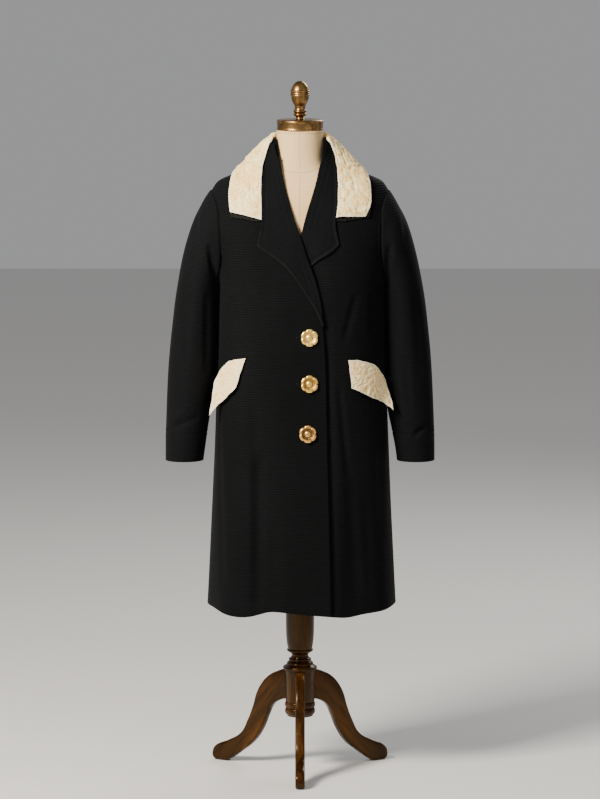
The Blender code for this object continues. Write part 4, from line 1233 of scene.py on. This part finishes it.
def stamp_button(name):
    """A gilt flower at the origin, facing up: a disc, raised, then inset once for each row."""
    bpy.ops.object.select_all(action="DESELECT")
    bpy.ops.mesh.primitive_circle_add(vertices=BUTTON_SIDES, radius=BUTTON_RADIUS, fill_type="NGON")
    button = bpy.context.object
    button.name = name
    bpy.ops.object.mode_set(mode="EDIT")
    bpy.ops.mesh.select_all(action="SELECT")
    bpy.ops.mesh.extrude_region_move(TRANSFORM_OT_translate={"value": (0, 0, BUTTON_BACK)})
    share = 1.0
    height = BUTTON_BACK
    for next_share, next_height, _ in BUTTON_FACE:
        bpy.ops.mesh.inset(thickness=(share - next_share) * BUTTON_RADIUS, depth=0)
        bpy.ops.transform.translate(value=(0, 0, next_height - height))
        share = next_share
        height = next_height
    bpy.ops.mesh.select_all(action="SELECT")
    bpy.ops.mesh.normals_make_consistent(inside=False)
    bpy.ops.object.mode_set(mode="OBJECT")
    patina_and_shade = button.data.attributes.new("patina_and_shade", "FLOAT", "POINT")
    for vertex in button.data.vertices:
        share = vertex.co.xy.length / BUTTON_RADIUS
        around = math.atan2(vertex.co.x, vertex.co.y)
        valley = (1 - abs(math.cos(3 * around))) ** 2
        inner_valley = (1 - abs(math.cos(3 * around + math.pi / 2))) ** 2
        row = min(BUTTON_FACE, key=lambda known: abs(known[0] - share))
        darkening = row[2] if share < 0.99 else 0.0
        if share > PETAL_FROM:
            outside = min(1.0, (share - PETAL_FROM) / PETAL_OVER)
            vertex.co.xy *= 1 - PETAL_NOTCH * valley * outside
            if vertex.co.z > BUTTON_BACK:
                vertex.co.z -= PETAL_VALLEY * valley * outside
            # In the notches between the petals: patina and painted shade.
            darkening = max(darkening, PETAL_NOTCH_PATINA_AND_SHADE * valley)
        elif share > SCALLOP_FROM:
            vertex.co.z += SCALLOP_LIFT * (1 - inner_valley)
            darkening *= SCALLOP_STAIN + (1 - SCALLOP_STAIN) * inner_valley
        patina_and_shade.data[vertex.index].value = darkening
    bpy.ops.object.shade_smooth_by_angle(angle=math.radians(48))
    return button


def gilding(name, bright, brown):
    """Gilt metal with a brown patina, and painted shade in the petal notches, where the piece's own
    attribute keeps them.
    """
    material, tree, shader = new_material(name, roughness=0.24, metallic=0.82)
    patina_and_shade = kept_on(tree, "patina_and_shade")
    scuffs = mottle(tree, placed(tree), 320.0, 4.0)
    clouds = blend_of(tree, scuffs, ((0.35, (0.80, 0.74, 0.66)), (0.62, (1.0, 1.0, 1.0))))
    gold = mixed(tree, "MULTIPLY", 0.7, bright, clouds)
    tune(shader, {
        "Base Color": mixed(tree, "MIX", patina_and_shade, gold, brown),
        "Roughness": between(tree, patina_and_shade, 0.30, 0.46),
        "Normal": raised(tree, (scuffs, 0.12, 0.0003)),
    })
    return material


bright_gilt = gilding("bright_gilt", bright=(1.00, 0.78, 0.23), brown=(0.600, 0.330, 0.080))
yellow_gilt = gilding("yellow_gilt", bright=(0.98, 0.66, 0.16), brown=(0.200, 0.094, 0.016))
red_gilt = gilding("red_gilt", bright=(0.90, 0.52, 0.15), brown=(0.036, 0.011, 0.002))
stamped = stamp_button("gilt_button")
# node, turn of the petals in degrees, finish
BUTTONS = (
    ("button_top", 8, bright_gilt),
    ("button_middle", -14, yellow_gilt),
    ("button_bottom", 22, red_gilt),
)
for button_node, petal_turn, gilt in BUTTONS:
    low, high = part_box(button_node)
    button = stamped.copy()
    button.data = stamped.data.copy()
    button.name = "gilt_" + button_node
    bpy.context.scene.collection.objects.link(button)
    tip = math.atan2((high.z - low.z) - 2 * BUTTON_RADIUS, BUTTON_RADIUS)
    button.rotation_euler = (math.radians(90) + tip, 0, 0)
    button.location = ((low.x + high.x) / 2, high.y - BUTTON_GAP, (low.z + high.z) / 2)
    pick(button)
    bpy.ops.object.transform_apply(location=True, rotation=True)
    finish_as(button, gilt, "gilt", button_node)
bpy.data.objects.remove(stamped)


# The floor, the lights and the camera: a plain pale studio round the coat. The camera stands
# where the photograph was taken, ten metres off and a little above, with a long lens.
AIM = Vector((0, AXIS_Y, 0.865))
CAMERA_DISTANCE = 10.0
CAMERA_RISE = math.radians(7.3)
METRES_PER_PIXEL = 0.0023
PHOTO_LONG_SIDE = 799
SENSOR = 36.0

bpy.ops.object.select_all(action="DESELECT")
bpy.ops.mesh.primitive_plane_add(size=24, location=(0, 0, -0.0005))
floor = bpy.context.object
floor.name = "studio_floor"
floor_paint, floor_tree, floor_shader = new_material("floor_paint", 0.60)
tune(floor_shader, {"Base Color": (0.70, 0.69, 0.67)})
floor.data.materials.append(floor_paint)
floor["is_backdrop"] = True

world = bpy.data.worlds.new("studio")
world.use_nodes = True
tune(world.node_tree.nodes["Background"], {"Color": (0.80, 0.80, 0.82), "Strength": 0.42})
bpy.context.scene.world = world


def soft_light(name, place, size, power, colour):
    """A square soft box that faces the coat."""
    bpy.ops.object.light_add(type="AREA", location=place)
    light = bpy.context.object
    light.name = name
    light.data.size = size
    light.data.energy = power
    light.data.color = colour
    light.rotation_euler = (AIM - Vector(place)).to_track_quat("-Z", "Y").to_euler()


soft_light("key_light", (-2.0, -2.0, 2.9), 1.0, 310, (1.0, 0.93, 0.83))
soft_light("fill_light", (3.0, -3.0, 1.6), 2.2, 12, (0.97, 0.97, 1.0))
soft_light("back_light", (1.6, 3.0, 3.0), 1.6, 60, (1.0, 0.98, 0.95))

bpy.ops.object.camera_add()
camera = bpy.context.object
camera.name = "photo_camera"
away_from = Vector((0, -math.cos(CAMERA_RISE), math.sin(CAMERA_RISE)))
camera.location = AIM + away_from * CAMERA_DISTANCE
camera.rotation_euler = (-away_from).to_track_quat("-Z", "Y").to_euler()
camera.data.sensor_width = SENSOR
camera.data.lens = SENSOR * CAMERA_DISTANCE / METRES_PER_PIXEL / PHOTO_LONG_SIDE
camera.data.clip_end = 60
bpy.context.scene.camera = camera


low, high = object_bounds()
